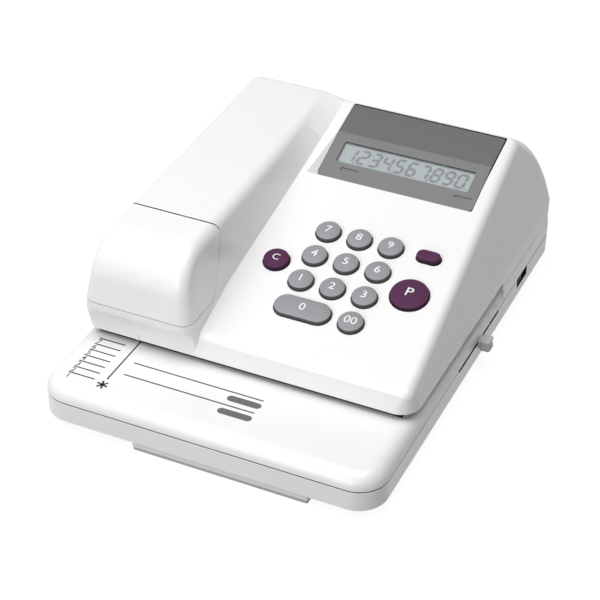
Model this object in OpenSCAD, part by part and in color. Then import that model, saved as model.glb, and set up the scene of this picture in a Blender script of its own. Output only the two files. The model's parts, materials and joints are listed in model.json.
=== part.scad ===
// Electronic check writer: a flat check bed, a printing head that hangs over it, and a keypad.
// X to the right, Y to the back, Z up. Origin: on the table, below the middle of the whole
// machine with its lever knob. The modules below count X from the middle of the base.

/* [Base] */
// Width of the base
base_w = 200; // [190:1:240]
// Depth of the base
base_d = 280; // [270:1:320]
// Height of the lower shell
base_low_h = 12.6; // [12.4:0.1:16]
// Height of the upper shell, whose top is the check bed
base_up_h = 9.6; // [9.4:0.1:12]
// Corner radius of the base in plan
base_corner_r = 17; // [10:0.5:24]
// Corner radius of the base in plan, at the back
base_back_r = 7; // [5:0.5:10]
// Rounding along the top edge of the bed
bed_edge_r = 6; // [2:0.5:8]
// Wall of every moulded shell
wall = 2.2; // [1.8:0.1:2.6]

/* [Feet] */
// Height of the moulded foot bar and foot bosses under the base
foot_bar_h = 3.8; // [2:0.1:8]
// Thickness of the rubber under them
foot_pad_h = 2.5; // [1:0.1:5]
// Left end of the front foot bar
foot_bar_x0 = -42.4; // [-60:0.1:-30]
// Right end of the front foot bar
foot_bar_x1 = 61.5; // [50:0.1:70]
// Depth of the front foot bar
foot_bar_d = 10; // [6:0.5:16]
// Radius of each rear foot
rear_foot_r = 7; // [5:0.5:8]
// Distance of the rear feet from the middle plane
rear_foot_x = 89; // [88:0.5:91]
// Distance of the rear feet from the back of the base
rear_foot_back = 14; // [11:0.5:20]

/* [Head] */
// Height of the throat that the check goes into
throat_gap = 4.3; // [4.1:0.1:5]
// Depth from the head's front edge to the back of the throat
throat_d = 139.7; // [138:0.1:142]
// Distance from the base's front to the head's front
bed_show_d = 52; // [48:0.5:56]
// How far the head's side stands inside the base's side
head_inset = 1.5; // [0.5:0.1:3]
// Distance from the base's back to the head's back
head_back_inset = 1; // [0:0.1:2]
// Lean of the side walls
side_lean = 11.5; // [8:0.1:13]
// Slope of the keypad panel
panel_slope = 15.25; // [14:0.05:16]
// Height of the keypad panel above the bed, over the origin
panel_rise = 41.3; // [41:0.1:44]
// Length of the keypad panel along its slope
panel_len = 202; // [200:0.5:203]
// Corner radius of the head in plan, at the front
head_front_r = 12; // [9:0.5:14]
// Corner radius of the head in plan, at the back
head_back_r = 7; // [5:0.5:10]
// Rounding of the head's ridges
ridge_r = 6; // [4:0.5:7]

/* [Nose] */
// Place of the nose's right flank at the level of the head's underside
nose_flank_x = -26.4; // [-28:0.1:-25]
// Lean of the nose's right flank
nose_flank_lean = 7; // [5:0.1:9]
// Lean of the nose's left wall
nose_lean = 9.5; // [8:0.1:11]
// Place of the foot of the flank at the nose's back
nose_foot_x = -25; // [-27:0.1:-23]
// Height of the nose above the bed, at its back
nose_rise = 73.8; // [72:0.1:76]
// Fall of the nose's top from back to front, in degrees
nose_fall = 2.6; // [1:0.1:3]
// Rounding of the nose's ridges
nose_r = 7; // [6:0.5:8]
// How far the nose bulges ahead of the head's front
nose_bulge = 7; // [4:0.5:9]

/* [Ink cover] */
// Distance of the cover's back edge from the front of the head
cover_line = 37; // [35:0.5:39]
// Depth of the cover's hinge axis below the nose's top
cover_pivot_depth = 4.6; // [4.3:0.1:5]
// Distance of the hinge axis ahead of the cover's back edge
cover_pivot_ahead = 3; // [2.5:0.1:4]
// Height of the cover's lower edge above the bed
cover_low = 27.5; // [26:0.5:30]
// Gap all round the cover
cover_gap = 0.35; // [0.3:0.05:0.6]
// Radius of the hinge pin
cover_pin_r = 1; // [0.8:0.1:1.2]

/* [Keypad] */
// Distance between columns
key_pitch_x = 19; // [18.6:0.1:20]
// Distance between rows along the slope
key_pitch_y = 19.25; // [18.6:0.05:20]
// Place of the left digit column
key_x0 = 9.1; // [7:0.1:10]
// Place of the top row along the slope
key_s0 = 2.4; // [0:0.1:4]
// Radius of a round key
key_r = 7.1; // [6.5:0.1:7.8]
// Length of the wide zero key
zero_key_w = 33; // [28:0.5:34.5]
// Radius of the print key
print_key_r = 10.8; // [10:0.1:12.5]
// Radius of the clear key
clear_key_r = 7.4; // [6.5:0.1:8]
// Width of the mode key
mode_key_w = 14; // [12:0.1:18]
// Height of the mode key
mode_key_h = 7.7; // [7:0.1:12]
// How far a key stands above the panel
key_proud = 3.4; // [3:0.1:6]
// Travel of a key
key_travel = 2.5; // [1.5:0.1:3]
// Clearance round a key in its hole
key_gap = 0.6; // [0.3:0.05:0.8]

/* [Display] */
// Left edge of the display
display_x0 = -18; // [-19:0.5:-16]
// Right edge of the display
display_x1 = 78; // [76:0.5:80]
// Front edge of the display along the slope
display_s0 = 46.5; // [46:0.5:50]
// Back edge of the display along the slope
display_s1 = 105.5; // [103:0.5:106]
// Place of the fold between its two faces, along the slope
display_fold = 81.5; // [80:0.5:83]
// Depth of the lower face's front edge below the panel
display_sink = 3.5; // [2:0.1:4.5]
// Length of the glass window
lcd_w = 82; // [70:0.5:84]
// Width of the glass window along the face
lcd_h = 15.4; // [14:0.1:16]

/* [Print unit] */
// Place of the print line, left to right
print_x = -65; // [-67:0.5:-64]
// Distance from the head's front to the print line
print_in = 51; // [50:0.5:52]
// Radius of the type wheel over its type
type_r = 20; // [18:0.5:20.5]
// Width of the type wheel
type_w = 7; // [5:0.5:8]
// Number of characters on the type wheel
type_count = 13; // [10:1:16]
// Radius of the type wheel's shaft
type_shaft_r = 3; // [2.5:0.1:3.5]
// Gear module of the print unit
gear_module = 0.8; // [0.8]
// Teeth of the type wheel's gear
type_teeth = 42; // [40:2:44]
// Teeth of the idler gear
idler_teeth = 30; // [28:2:32]
// Teeth of a motor pinion
pinion_teeth = 14; // [14]
// Face width of the print unit's gears
gear_w = 5; // [3:0.5:5.5]
// Radius of the print unit's motor
select_motor_r = 12; // [10:0.5:12.5]
// Radius of the ink roller
ink_r = 8; // [7:0.5:8.5]
// Angle of the ink roller ahead of the type wheel's top, from level
ink_angle = 50; // [45:1:55]
// Thickness of the print unit's side plates
plate_t = 1.5; // [1:0.1:2]
// Lift of the print hammer
hammer_lift = 4.8; // [4:0.1:4.9]

/* [Feed] */
// Place of the feed roller, left to right
feed_x = -31; // [-33:0.5:-29]
// Radius of the feed roller
feed_r = 9; // [8.5:0.1:9.2]
// Length of the feed roller
feed_w = 14; // [10:0.5:16]
// How far the feed roller stands above the bed
feed_proud = 0.5; // [0.3:0.1:0.8]
// Radius of the feed shaft
feed_shaft_r = 2; // [1.5:0.1:2.2]
// Radius of the pinch roller
pinch_r = 4.5; // [4:0.1:5]
// Gear module of the feed
feed_module = 0.6; // [0.6]
// Teeth of the feed gear
feed_teeth = 18; // [18]
// Teeth of the feed motor's pinion
feed_pinion_teeth = 12; // [12]
// Radius of the feed motor
feed_motor_r = 7.5; // [6:0.1:8]

/* [Check stop] */
// Place of the stop lever, front to back
stop_y = 11.5; // [8:0.5:14]
// Travel of the stop lever towards the front
stop_travel_front = 28.4; // [20:0.1:29]
// Travel of the stop lever towards the back
stop_travel_back = 29; // [20:0.1:29]
// Length of the lever's knob along the slot
knob_l = 8; // [6:0.5:9]
// How far the knob stands out of the side
knob_out = 7.5; // [6:0.5:12]
// Height of the knob
knob_h = 7.2; // [6.6:0.2:9]

/* [Power] */
// Distance from the back of the throat to the middle of the power switch
switch_in = 35.3; // [33:0.1:38]
// Travel of the power switch
switch_travel = 5; // [3:0.5:6]
// Radius of a battery cell
cell_r = 12.8; // [12.5:0.1:13]
// Length of a battery cell
cell_l = 49; // [48:0.5:50]

/* [Hidden] */
$fn = 48;

// Resolution of the spheres that round the head, outside and inside
fn_out = 32;
fn_in = 24;
// Cutters run this far past what they cut
over = 1;
// Gap between pieces that seat on each other
seat = 0.3;
// Radial clearance of a running fit
run = 0.05;

// Levels, from the table up
z_base = foot_pad_h + foot_bar_h;
z_part = z_base + base_low_h;
z_bed = z_part + base_up_h;
z_head = z_bed + throat_gap;
z_panel = z_bed + panel_rise;
z_nose = z_bed + nose_rise;
bed_under = z_bed - wall;
floor_z = z_base + wall;

// Plan of the head
base_front = -base_d / 2;
base_back = base_d / 2;
head_hw = base_w / 2 - head_inset;
head_front = base_front + bed_show_d;
head_back = base_back - head_back_inset;
throat_end = head_front + throat_d;
print_y = head_front + print_in;
switch_y = throat_end + switch_in;
// The base's middle, which stands aside of the origin by half of the knob's reach
base_aside = -(seat + knob_out) / 2;
tan_lean = tan(side_lean);
tan_slope = tan(panel_slope);
body_left = -60;

// Height of the panel at a place from front to back
function panel_z(y) = z_panel + y * tan_slope;
// Half width of the head at a height
function side_x(z) = head_hw - (z - z_head) * tan_lean;
// Distance of the nose's left wall from the middle plane at a height
function left_x(z) = head_hw - (z - z_head) * tan(nose_lean);
// Place of the nose's right flank at a height
function flank_x(z) = nose_flank_x - (z - z_head) * tan(nose_flank_lean);

// A plate with one corner radius at the front and one at the back
module rounded_plan(w, d, r, back_r, h) {
  linear_extrude(h) {
    translate([-w / 2, r - d / 2]) square([w, d - r - back_r]);
    translate([r - w / 2, -d / 2]) square([w - 2 * r, d / 2]);
    translate([back_r - w / 2, 0]) square([w - 2 * back_r, d / 2]);
    for (s = [-1, 1]) {
      translate([s * (w / 2 - r), r - d / 2]) circle(r);
      translate([s * (w / 2 - back_r), d / 2 - back_r]) circle(back_r);
    }
  }
}

module slot_plan(w, h) {
  square([w - h, h], center = true);
  for (s = [-1, 1]) translate([s * (w - h) / 2, 0]) circle(h / 2);
}

// A box given by its low and high corners
module span(a, b) {
  translate(a) cube([b[0] - a[0], b[1] - a[1], b[2] - a[2]]);
}

// A cylinder along X between two places
module rod_x(x0, x1, y, z, r) {
  translate([x0, y, z]) rotate([0, 90, 0]) cylinder(h = x1 - x0, r = r);
}

// A cylinder along Y between two places
module rod_y(x, y0, y1, z, r) {
  translate([x, y0, z]) rotate([-90, 0, 0]) cylinder(h = y1 - y0, r = r);
}

// The panel's own frame: X to the right, Y up the slope, Z out of the panel
module on_panel() {
  translate([0, 0, z_panel]) rotate([panel_slope, 0, 0]) children();
}

// ---------------------------------------------------------------- base

rear_foot_y = base_back - rear_foot_back;
boss_r = 4;
boss_x = base_w / 2 - 10;
boss_front_y = base_front + 14;
boss_rear_y = throat_end + 14;
screw_r = 1.5;
screw_head_r = 3;
screw_head_h = 2;
// How far the rear screws reach into the head
screw_reach = 8;
screw_spots = [[-boss_x, boss_front_y], [boss_x, boss_front_y],
               [-boss_x, boss_rear_y], [boss_x, boss_rear_y]];

// Battery well in the floor
cell_gap = 0.6;
cell_nub_l = 2;
cell_nub_r = cell_r / 4;
well_x0 = -20;
well_x1 = well_x0 + 2 * cell_l + 8 * cell_gap;
well_y0 = throat_end + 4;
well_y1 = well_y0 + 4 * cell_r + 3 * cell_gap;
well_floor = z_base + 3.4;
door_x0 = well_x0 + 3;
door_x1 = well_x1 - 3;
door_y0 = well_y0 + 2;
door_t = 1.6;
tongue_w = 2;
contact_t = 0.8;
cell_z = well_floor + cell_r + seat;

// Openings in the right side
slot_z0 = z_part - 1.6;
slot_y0 = stop_y - stop_travel_front - knob_l / 2;
slot_y1 = stop_y + stop_travel_back + knob_l / 2;
switch_knob_l = 7;
switch_lip = 1;
switch_play = 2;
switch_l = switch_knob_l + switch_travel + 2 * (switch_lip + switch_play);
switch_z0 = z_part - 6.1;
switch_y0 = switch_y - switch_l / 2;
switch_y1 = switch_y + switch_l / 2;
jack_x = 60;
jack_w = 11;
jack_h = 8;
jack_z = well_floor + jack_h / 2;

module base_screw_holes(r, z0, z1) {
  for (p = screw_spots) translate([p[0], p[1], z0]) cylinder(h = z1 - z0, r = r);
}

module base_lower_shell() {
  color("white") difference() {
    union() {
      difference() {
        translate([0, 0, z_base])
          rounded_plan(base_w, base_d, base_corner_r, base_back_r, base_low_h);
        translate([0, 0, floor_z])
          rounded_plan(base_w - 2 * wall, base_d - 2 * wall, base_corner_r - wall,
                       base_back_r - wall, base_low_h);
      }
      span([foot_bar_x0, base_front, foot_pad_h],
           [foot_bar_x1, base_front + foot_bar_d, floor_z]);
      for (s = [-1, 1])
        translate([s * rear_foot_x, rear_foot_y, foot_pad_h])
          cylinder(h = foot_bar_h + wall, r = rear_foot_r);
      for (p = screw_spots)
        translate([p[0], p[1], z_base]) cylinder(h = base_low_h - seat, r = boss_r);
      span([well_x0 - wall, well_y0 - 2 * wall, z_base],
           [well_x1 + wall, base_back - wall / 2, well_floor]);
      for (x = [well_x0 - wall, well_x1])
        span([x, well_y0, z_base], [x + wall, well_y1, z_part - seat]);
    }
    span([well_x0 + 6 * cell_gap, well_y0, well_floor - over],
         [well_x1 - 6 * cell_gap, well_y1, z_part]);
    span([door_x0 - seat, door_y0 - seat, z_base - over],
         [door_x1 + seat, base_back + over, z_base + door_t + 2 * seat]);
    span([door_x0 - tongue_w - seat, door_y0 - seat, z_base + 2 * seat],
         [door_x1 + tongue_w + seat, base_back + over, z_base + door_t + 2 * seat]);
    span([door_x0 + tongue_w, well_y0 + tongue_w, z_base - over],
         [door_x1 - tongue_w, well_y1 - tongue_w, well_floor + over]);
    base_screw_holes(screw_r + 2 * run, z_base - over, z_part);
    base_screw_holes(screw_head_r + seat, z_base - over, z_base + screw_head_h + seat);
    span([base_w / 2 - 2 * wall, slot_y0, slot_z0], [base_w / 2 + over, slot_y1, z_part + over]);
    span([base_w / 2 - 2 * wall, switch_y0, switch_z0],
         [base_w / 2 + over, switch_y1, z_part + over]);
    span([jack_x - jack_w / 2, base_back - 2 * wall, jack_z - jack_h / 2],
         [jack_x + jack_w / 2, base_back + over, jack_z + jack_h / 2]);
  }
}

// Windows in the bed
hammer_r = 5;
window_gap = 0.6;
feed_z = z_bed + feed_proud - feed_r;
feed_y0 = print_y - feed_w / 2;
feed_y1 = print_y + feed_w / 2;
tab_x = [40, 72];
tab_w = 2.5;
tab_t = 1.2;

module bed_block(top_r) {
  intersection() {
    translate([0, 0, z_part]) rounded_plan(base_w, base_d, base_corner_r, base_back_r, base_up_h);
    union() {
      translate([0, 0, z_part]) linear_extrude(base_up_h)
        translate([-base_w, throat_end]) square([2 * base_w, base_d]);
      intersection() {
        rotate([90, 0, 90]) linear_extrude(2 * base_w, center = true) {
          translate([base_front, z_part]) square([base_d, base_up_h - top_r]);
          translate([base_front + top_r, z_part]) square([base_d, base_up_h]);
          translate([base_front + top_r, z_bed - top_r]) circle(top_r);
        }
        rotate([90, 0, 0]) linear_extrude(2 * base_d, center = true) {
          translate([-base_w / 2, z_part]) square([base_w, base_up_h - top_r]);
          translate([-base_w / 2 + top_r, z_part]) square([base_w - 2 * top_r, base_up_h]);
          for (s = [-1, 1])
            translate([s * (base_w / 2 - top_r), z_bed - top_r]) circle(top_r);
        }
      }
    }
  }
}

module base_upper_shell() {
  color("white") difference() {
    union() {
      difference() {
        bed_block(bed_edge_r);
        translate([0, 0, z_part - over])
          rounded_plan(base_w - 2 * wall - bed_edge_r / 2, base_d - 2 * wall - bed_edge_r / 2,
                       base_corner_r - wall, base_back_r - wall, base_up_h - wall + over);
      }
      for (p = screw_spots)
        translate([p[0], p[1], z_part]) cylinder(h = base_up_h - wall / 2, r = boss_r);
    }
    base_screw_holes(screw_r, z_part - over, z_bed - wall);
    for (s = [-1, 1]) translate([s * boss_x, boss_rear_y, z_part])
      cylinder(h = base_up_h + over, r = screw_r);
    span([well_x0 - wall, throat_end + 2 * wall, z_part - over],
         [well_x1 + wall, well_y1 + wall, z_bed + over]);
    translate([print_x, print_y, bed_under - over])
      cylinder(h = wall + 2 * over, r = hammer_r + window_gap);
    span([feed_x - feed_r, feed_y0 - window_gap, bed_under - over],
         [feed_x + feed_r, feed_y1 + window_gap, z_bed + over]);
    for (x = tab_x)
      span([x - tab_w / 2 - window_gap, stop_y - stop_travel_front - 2 * tab_w, bed_under - over],
           [x + tab_w / 2 + window_gap, stop_y + stop_travel_back + 2 * tab_w, z_bed + over]);
    span([base_w / 2 - 3 * wall, slot_y0, z_part - over],
         [base_w / 2 + over, slot_y1, z_part + seat]);
  }
}

module front_foot_strip() {
  color("dimgray")
    span([foot_bar_x0, base_front + run, 0],
         [foot_bar_x1, base_front + foot_bar_d, foot_pad_h]);
}

module rear_foot_pads() {
  color("dimgray") for (s = [-1, 1])
    translate([s * rear_foot_x, rear_foot_y, 0]) cylinder(h = foot_pad_h, r = rear_foot_r - run);
}

module battery_cover() {
  color("white") {
    span([door_x0, door_y0, z_base],
         [door_x1, base_back - run, z_base + door_t + seat]);
    span([door_x0 - tongue_w, door_y0, z_base + 3 * seat],
         [door_x1 + tongue_w, base_back - run, z_base + door_t + seat]);
  }
}

module battery_cells() {
  color("silver") for (row = [0, 1], col = [0, 1]) {
    x0 = well_x0 + 2 * cell_gap + contact_t + col * (cell_l + cell_gap);
    y = well_y0 + cell_gap + cell_r + row * (2 * cell_r + cell_gap);
    rod_x(x0, x0 + cell_l - cell_nub_l, y, cell_z, cell_r);
    rod_x(x0 + cell_l - cell_nub_l, x0 + cell_l, y, cell_z, cell_nub_r);
  }
}

module battery_contacts() {
  color("silver") for (x = [well_x0 + seat / 2, well_x1 - contact_t - seat / 2], row = [0, 1]) {
    y = well_y0 + cell_gap + cell_r + row * (2 * cell_r + cell_gap);
    span([x, y - cell_r / 2, well_floor],
         [x + contact_t, y + cell_r / 2, well_floor + 1.5 * cell_r]);
  }
}

// ---------------------------------------------------------------- head

// Height of the upright foot of the head's walls, at the front and at the back
skirt_h = throat_gap + 2;
back_skirt_h = 18.7;
// The rear corners stand out to the base's sides
back_hw = base_w / 2 - seat;

// Spheres along the back of the head: place from front to back, and height
back_r = 14;
back_curve = [[base_back - 37.6, z_bed + 54.4], [base_back - 15.4, z_bed + 39.8]];

module side_ball(y, z, r, inset, f) {
  translate([side_x(z) - r / cos(side_lean), y, z]) sphere(r - inset, $fn = f);
}

module left_ball(y, z, r, inset, f) {
  translate([-left_x(z) + r / cos(nose_lean), y, z]) sphere(r - inset, $fn = f);
}

module flank_ball(y, z, r, inset, f) {
  translate([flank_x(z) - r / cos(nose_flank_lean), y, z]) sphere(r - inset, $fn = f);
}

panel_front = head_front + ridge_r + 1.5;
panel_back = panel_front + (panel_len - 2 * ridge_r) * cos(panel_slope);
ridge_drop = ridge_r / cos(panel_slope);

module body_form(inset, f) {
  hull() {
    translate([head_hw - head_front_r, head_front + head_front_r, z_bed])
      cylinder(h = skirt_h, r = head_front_r - inset, $fn = f);
    translate([body_left, head_front + head_front_r, z_bed])
      cylinder(h = skirt_h, r = head_front_r - inset, $fn = f);
    for (x = [body_left, back_hw - head_back_r])
      translate([x, head_back - head_back_r, z_bed])
        cylinder(h = back_skirt_h, r = head_back_r - inset, $fn = f);
    for (y = [panel_front, panel_back]) {
      side_ball(y, panel_z(y) - ridge_drop, ridge_r, inset, f);
      translate([body_left, y, panel_z(y) - ridge_drop]) sphere(ridge_r - inset, $fn = f);
    }
    for (p = back_curve) {
      side_ball(p[0], p[1], back_r, inset, f);
      translate([body_left, p[0], p[1]]) sphere(back_r - inset, $fn = f);
    }
  }
}

nose_front = head_front - nose_bulge;
foot_ball_r = 3;
nose_back = panel_back;

// Height of the nose's top at a place, and the spheres along its profile from the throat up
function nose_z(y) = z_nose - (nose_back - y) * tan(nose_fall);
nose_curve = [[nose_front + nose_r + 6, z_head + nose_r - 0.5],
              [nose_front + nose_r, z_head + 18],
              [nose_front + nose_r + 0.4, z_head + 31],
              [nose_front + nose_r + 2.5, z_head + 42],
              [nose_front + nose_r + 8, z_head + 50.5],
              [nose_front + nose_r + 16, z_head + 54.5],
              [nose_front + nose_r + 30, nose_z(nose_front + nose_r + 30) - nose_r],
              [nose_back, nose_z(nose_back) - nose_r]];

module nose_form(inset, f) {
  hull() {
    for (p = nose_curve) {
      left_ball(p[0], p[1], nose_r, inset, f);
      flank_ball(p[0], p[1], nose_r, inset, f);
    }
    translate([head_back_r - back_hw, head_back - head_back_r, z_bed])
      cylinder(h = back_skirt_h, r = head_back_r - inset, $fn = f);
    translate([-head_hw + head_front_r, head_front + head_front_r, z_bed])
      cylinder(h = skirt_h, r = head_front_r - inset, $fn = f);
    translate([nose_foot_x - foot_ball_r, nose_back, panel_z(nose_back) - 2 * foot_ball_r])
      sphere(foot_ball_r - inset / 2, $fn = f);
    translate([nose_flank_x - head_front_r, head_front + head_front_r, z_bed])
      cylinder(h = skirt_h, r = head_front_r - inset, $fn = f);
    for (p = back_curve) {
      left_ball(p[0], p[1], back_r, inset, f);
      flank_ball(p[0], p[1], back_r, inset, f);
    }
  }
}

// The cover's edge on the nose's flanks
pivot_y = head_front + cover_line - cover_pivot_ahead;
pivot_z = nose_z(pivot_y) - cover_pivot_depth;
cover_pivot_r = norm([cover_pivot_ahead, cover_pivot_depth]);
cover_low_z = z_bed + cover_low;

// The cover's edge on the flanks: how far it lies behind the hinge axis, and how far below
edge_top = [3.5, 10];
edge_mid = [-5, 26.5];
edge_low_y = -12.5;

// The space that the cover fills, seen from the side, grown by a gap
module cover_region(gap) {
  translate([-base_w / 2 - over, 0, 0])
    rotate([90, 0, 90]) linear_extrude(base_w / 2 + nose_flank_x + 2 * over) {
      polygon([[pivot_y - gap, z_nose + 2 * nose_r],
               [pivot_y - gap, pivot_z],
               [pivot_y + edge_top[0] + gap, pivot_z],
               [pivot_y + edge_top[0] + gap, pivot_z - edge_top[1]],
               [pivot_y + edge_mid[0] + gap, pivot_z - edge_mid[1]],
               [pivot_y + edge_low_y + gap, cover_low_z - gap],
               [nose_front - nose_r, cover_low_z - gap],
               [nose_front - nose_r, z_nose + 2 * nose_r]]);
      translate([pivot_y, pivot_z]) circle(cover_pivot_r + gap);
    }
}

// Cuts through the panel reach this far below and above it
panel_cut = 4 * wall;

module key_hole(s, x, shape_r, shape_w, shape_h) {
  on_panel() translate([x, s, -panel_cut]) linear_extrude(2 * panel_cut)
    if (shape_r > 0) circle(shape_r + key_gap);
    else slot_plan(shape_w + 2 * key_gap, shape_h + 2 * key_gap);
}

// Keys: name, column, row, radius or 0, width, height
key_x1 = key_x0 + key_pitch_x;
key_x2 = key_x0 + 2 * key_pitch_x;
row_789 = key_s0;
row_456 = key_s0 - key_pitch_y;
row_123 = key_s0 - 2 * key_pitch_y;
row_0 = key_s0 - 3 * key_pitch_y;
row_mid = key_s0 - 1.5 * key_pitch_y;
zero_x = key_x0 + key_pitch_x / 2;
print_x_key = key_x2 + 22.6;
clear_x = key_x0 - 19.3;
keys = [
  ["key_0", zero_x, row_0, 0, zero_key_w, 2 * key_r],
  ["key_00", key_x2, row_0, key_r, 0, 0],
  ["key_1", key_x0, row_123, key_r, 0, 0],
  ["key_2", key_x1, row_123, key_r, 0, 0],
  ["key_3", key_x2, row_123, key_r, 0, 0],
  ["key_4", key_x0, row_456, key_r, 0, 0],
  ["key_5", key_x1, row_456, key_r, 0, 0],
  ["key_6", key_x2, row_456, key_r, 0, 0],
  ["key_7", key_x0, row_789, key_r, 0, 0],
  ["key_8", key_x1, row_789, key_r, 0, 0],
  ["key_9", key_x2, row_789, key_r, 0, 0],
  ["clear_key", clear_x, row_mid, clear_key_r, 0, 0],
  ["print_key", print_x_key, row_mid, print_key_r, 0, 0],
  ["mode_key", print_x_key, row_789, 0, mode_key_w, mode_key_h]
];

// Ears inside the cover that turn on its hinge pin
ear_t = 2.2;
ear_r = cover_pin_r + 1.2;
ear_left_x = -left_x(pivot_z) + wall + seat;
ear_right_x = flank_x(pivot_z) - wall - ear_t - seat;

module head_form_cut() {
  difference() {
    union() {
      difference() {
        union() {
          body_form(0, fn_out);
          nose_form(0, fn_out);
        }
        body_form(wall, fn_in);
        nose_form(wall, fn_in);
      }
      intersection() {
        span([-head_hw + wall / 2, throat_end, z_bed],
             [head_hw - wall / 2, throat_end + wall, z_head + 2 * wall]);
        span([-head_hw, head_front, z_bed], [head_hw, head_back, z_nose]);
      }
    }
    span([-base_w, nose_front - 2 * nose_r, z_bed - over], [base_w, throat_end, z_head]);
    span([-head_hw + 3 * wall, throat_end + wall, z_bed - over],
         [head_hw - 3 * wall, head_back - 3 * wall, z_bed + over]);
  }
}

head_boss_h = 12;
post_r = 2.5;
post_inset = 3;

// Bosses at the back that the case screws end in, each with a rib to the side wall
module head_bosses() {
  for (s = [-1, 1]) difference() {
    union() {
      translate([s * boss_x, boss_rear_y, z_bed]) cylinder(h = head_boss_h, r = boss_r);
      span([min(s * boss_x, s * (head_hw - wall / 2)), boss_rear_y - wall / 2, z_bed],
           [max(s * boss_x, s * (head_hw - wall / 2)), boss_rear_y + wall / 2,
            z_bed + head_boss_h]);
    }
    translate([s * boss_x, boss_rear_y, z_bed - over])
      cylinder(h = head_boss_h - wall + over, r = screw_r);
  }
}

// Posts under the panel that the key mat and the key board are held against
module board_posts() {
  on_panel() for (x = [pad_x0 + post_inset, pad_x1 - post_inset],
                  y = [pad_s0 + post_inset, pad_s1 - post_inset])
    translate([x, y, mat_top]) cylinder(h = -mat_top - wall / 2, r = post_r);
}

module head_shell() {
  color("white") {
    difference() {
      head_form_cut();
      cover_region(cover_gap);
      for (k = keys) key_hole(k[2], k[1], k[3], k[4], k[5]);
      on_panel() translate([display_x0 - seat, display_s0 - seat, -panel_cut])
        cube([display_x1 - display_x0 + 2 * seat, display_s1 - display_s0 + 2 * seat,
              2 * panel_cut]);
    }
    head_bosses();
    board_posts();
  }
}

plate_z1 = z_head + 2;
pinch_z = z_bed + feed_proud + seat + pinch_r;
// The pinch roller's bracket: end walls, their blocks in the floor's window, and its flanges
pinch_wall = 2;
pinch_end = 1;
pinch_flange = 5;
pinch_y0 = feed_y0 - pinch_wall - pinch_end;
pinch_y1 = feed_y1 + pinch_wall + pinch_end;

module head_bottom_plate() {
  color("whitesmoke") difference() {
    translate([0, (head_front + wall + throat_end) / 2, z_head + run])
      rounded_plan(2 * (head_hw - wall - 2 * seat), throat_d - wall - 4 * seat,
                   head_front_r - wall, head_front_r - wall, plate_z1 - z_head - run);
    span([print_x - type_w, print_y - type_r / 2, z_head - over],
         [print_x + type_w, print_y + type_r / 2, plate_z1 + over]);
    span([feed_x - pinch_r - pinch_wall, pinch_y0 - seat, z_head - over],
         [feed_x + pinch_r + pinch_wall, pinch_y1 + seat, plate_z1 + over]);
  }
}

module ink_cover() {
  color("white") difference() {
    union() {
      intersection() {
        difference() {
          nose_form(0, fn_out);
          nose_form(wall, fn_in);
        }
        cover_region(0);
      }
      for (x = [ear_left_x, ear_right_x]) {
        rod_x(x, x + ear_t, pivot_y, pivot_z, ear_r);
        span([x, pivot_y - ear_r, pivot_z],
             [x + ear_t, pivot_y + ear_r, nose_z(pivot_y) - wall / 2]);
      }
    }
    rod_x(-base_w / 2, 0, pivot_y, pivot_z, cover_pin_r + run);
  }
}

module cover_hinge_pin() {
  color("silver")
    rod_x(ear_left_x, ear_right_x + ear_t, pivot_y, pivot_z, cover_pin_r);
}

// ---------------------------------------------------------------- display

face_tilt = atan(display_sink / (display_fold - display_s0));
bezel_t = 4;
face_mid = (display_s0 + display_fold) / 2 + 3.4;
lcd_x = (display_x0 + display_x1) / 2;
// Depths below the lower face, and thicknesses
window_top = 0.7;
window_t = 1;
lcd_t = 2;

// The lower face's own frame, centred on the window
module on_face() {
  on_panel() translate([lcd_x, face_mid, -(display_fold - face_mid) * tan(face_tilt)])
    rotate([face_tilt, 0, 0]) children();
}

module display_bezel() {
  color("gray") difference() {
    on_panel() translate([display_x0, 0, 0]) rotate([90, 0, 90])
      linear_extrude(display_x1 - display_x0)
        polygon([[display_s0, -display_sink], [display_fold, 0], [display_s1, 0],
                 [display_s1, -bezel_t], [display_fold, -bezel_t],
                 [display_s0, -display_sink - bezel_t]]);
    on_face() cube([lcd_w, lcd_h, 4 * bezel_t], center = true);
  }
}

module display_window() {
  color("lightgray", 0.5) on_face()
    translate([0, 0, -window_top - window_t / 2])
      cube([lcd_w - 2 * run, lcd_h - 2 * run, window_t], center = true);
}

module lcd_panel() {
  color("darkseagreen") on_face()
    translate([0, 0, -window_top - window_t - lcd_t / 2])
      cube([lcd_w - 2 * seat, lcd_h - 2 * seat, lcd_t], center = true);
}

// ---------------------------------------------------------------- keypad

flange_t = 1;
flange_w = 1;
stem_l = 2.8;
// Crown of a round key as a share of its radius, and the rounding step on an oblong one
crown_share = 0.1;
rim_h = 0.6;
rim_w = 0.5;
// Stem's radius as a share of a round key's radius, and of an oblong key's height
stem_share = 0.4;
stem_flat_share = 0.2;
flange_top = -wall - seat - 0.2;
mat_top = flange_top - flange_t - key_travel - stem_l - seat;
mat_t = 1.2;
board_t = 1.6;
pad_edge = 4;
pad_x0 = clear_x - clear_key_r - pad_edge;
pad_x1 = print_x_key + print_key_r + pad_edge;
pad_s0 = row_0 - key_r - pad_edge;
pad_s1 = row_789 + key_r + 3 * pad_edge;

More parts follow.
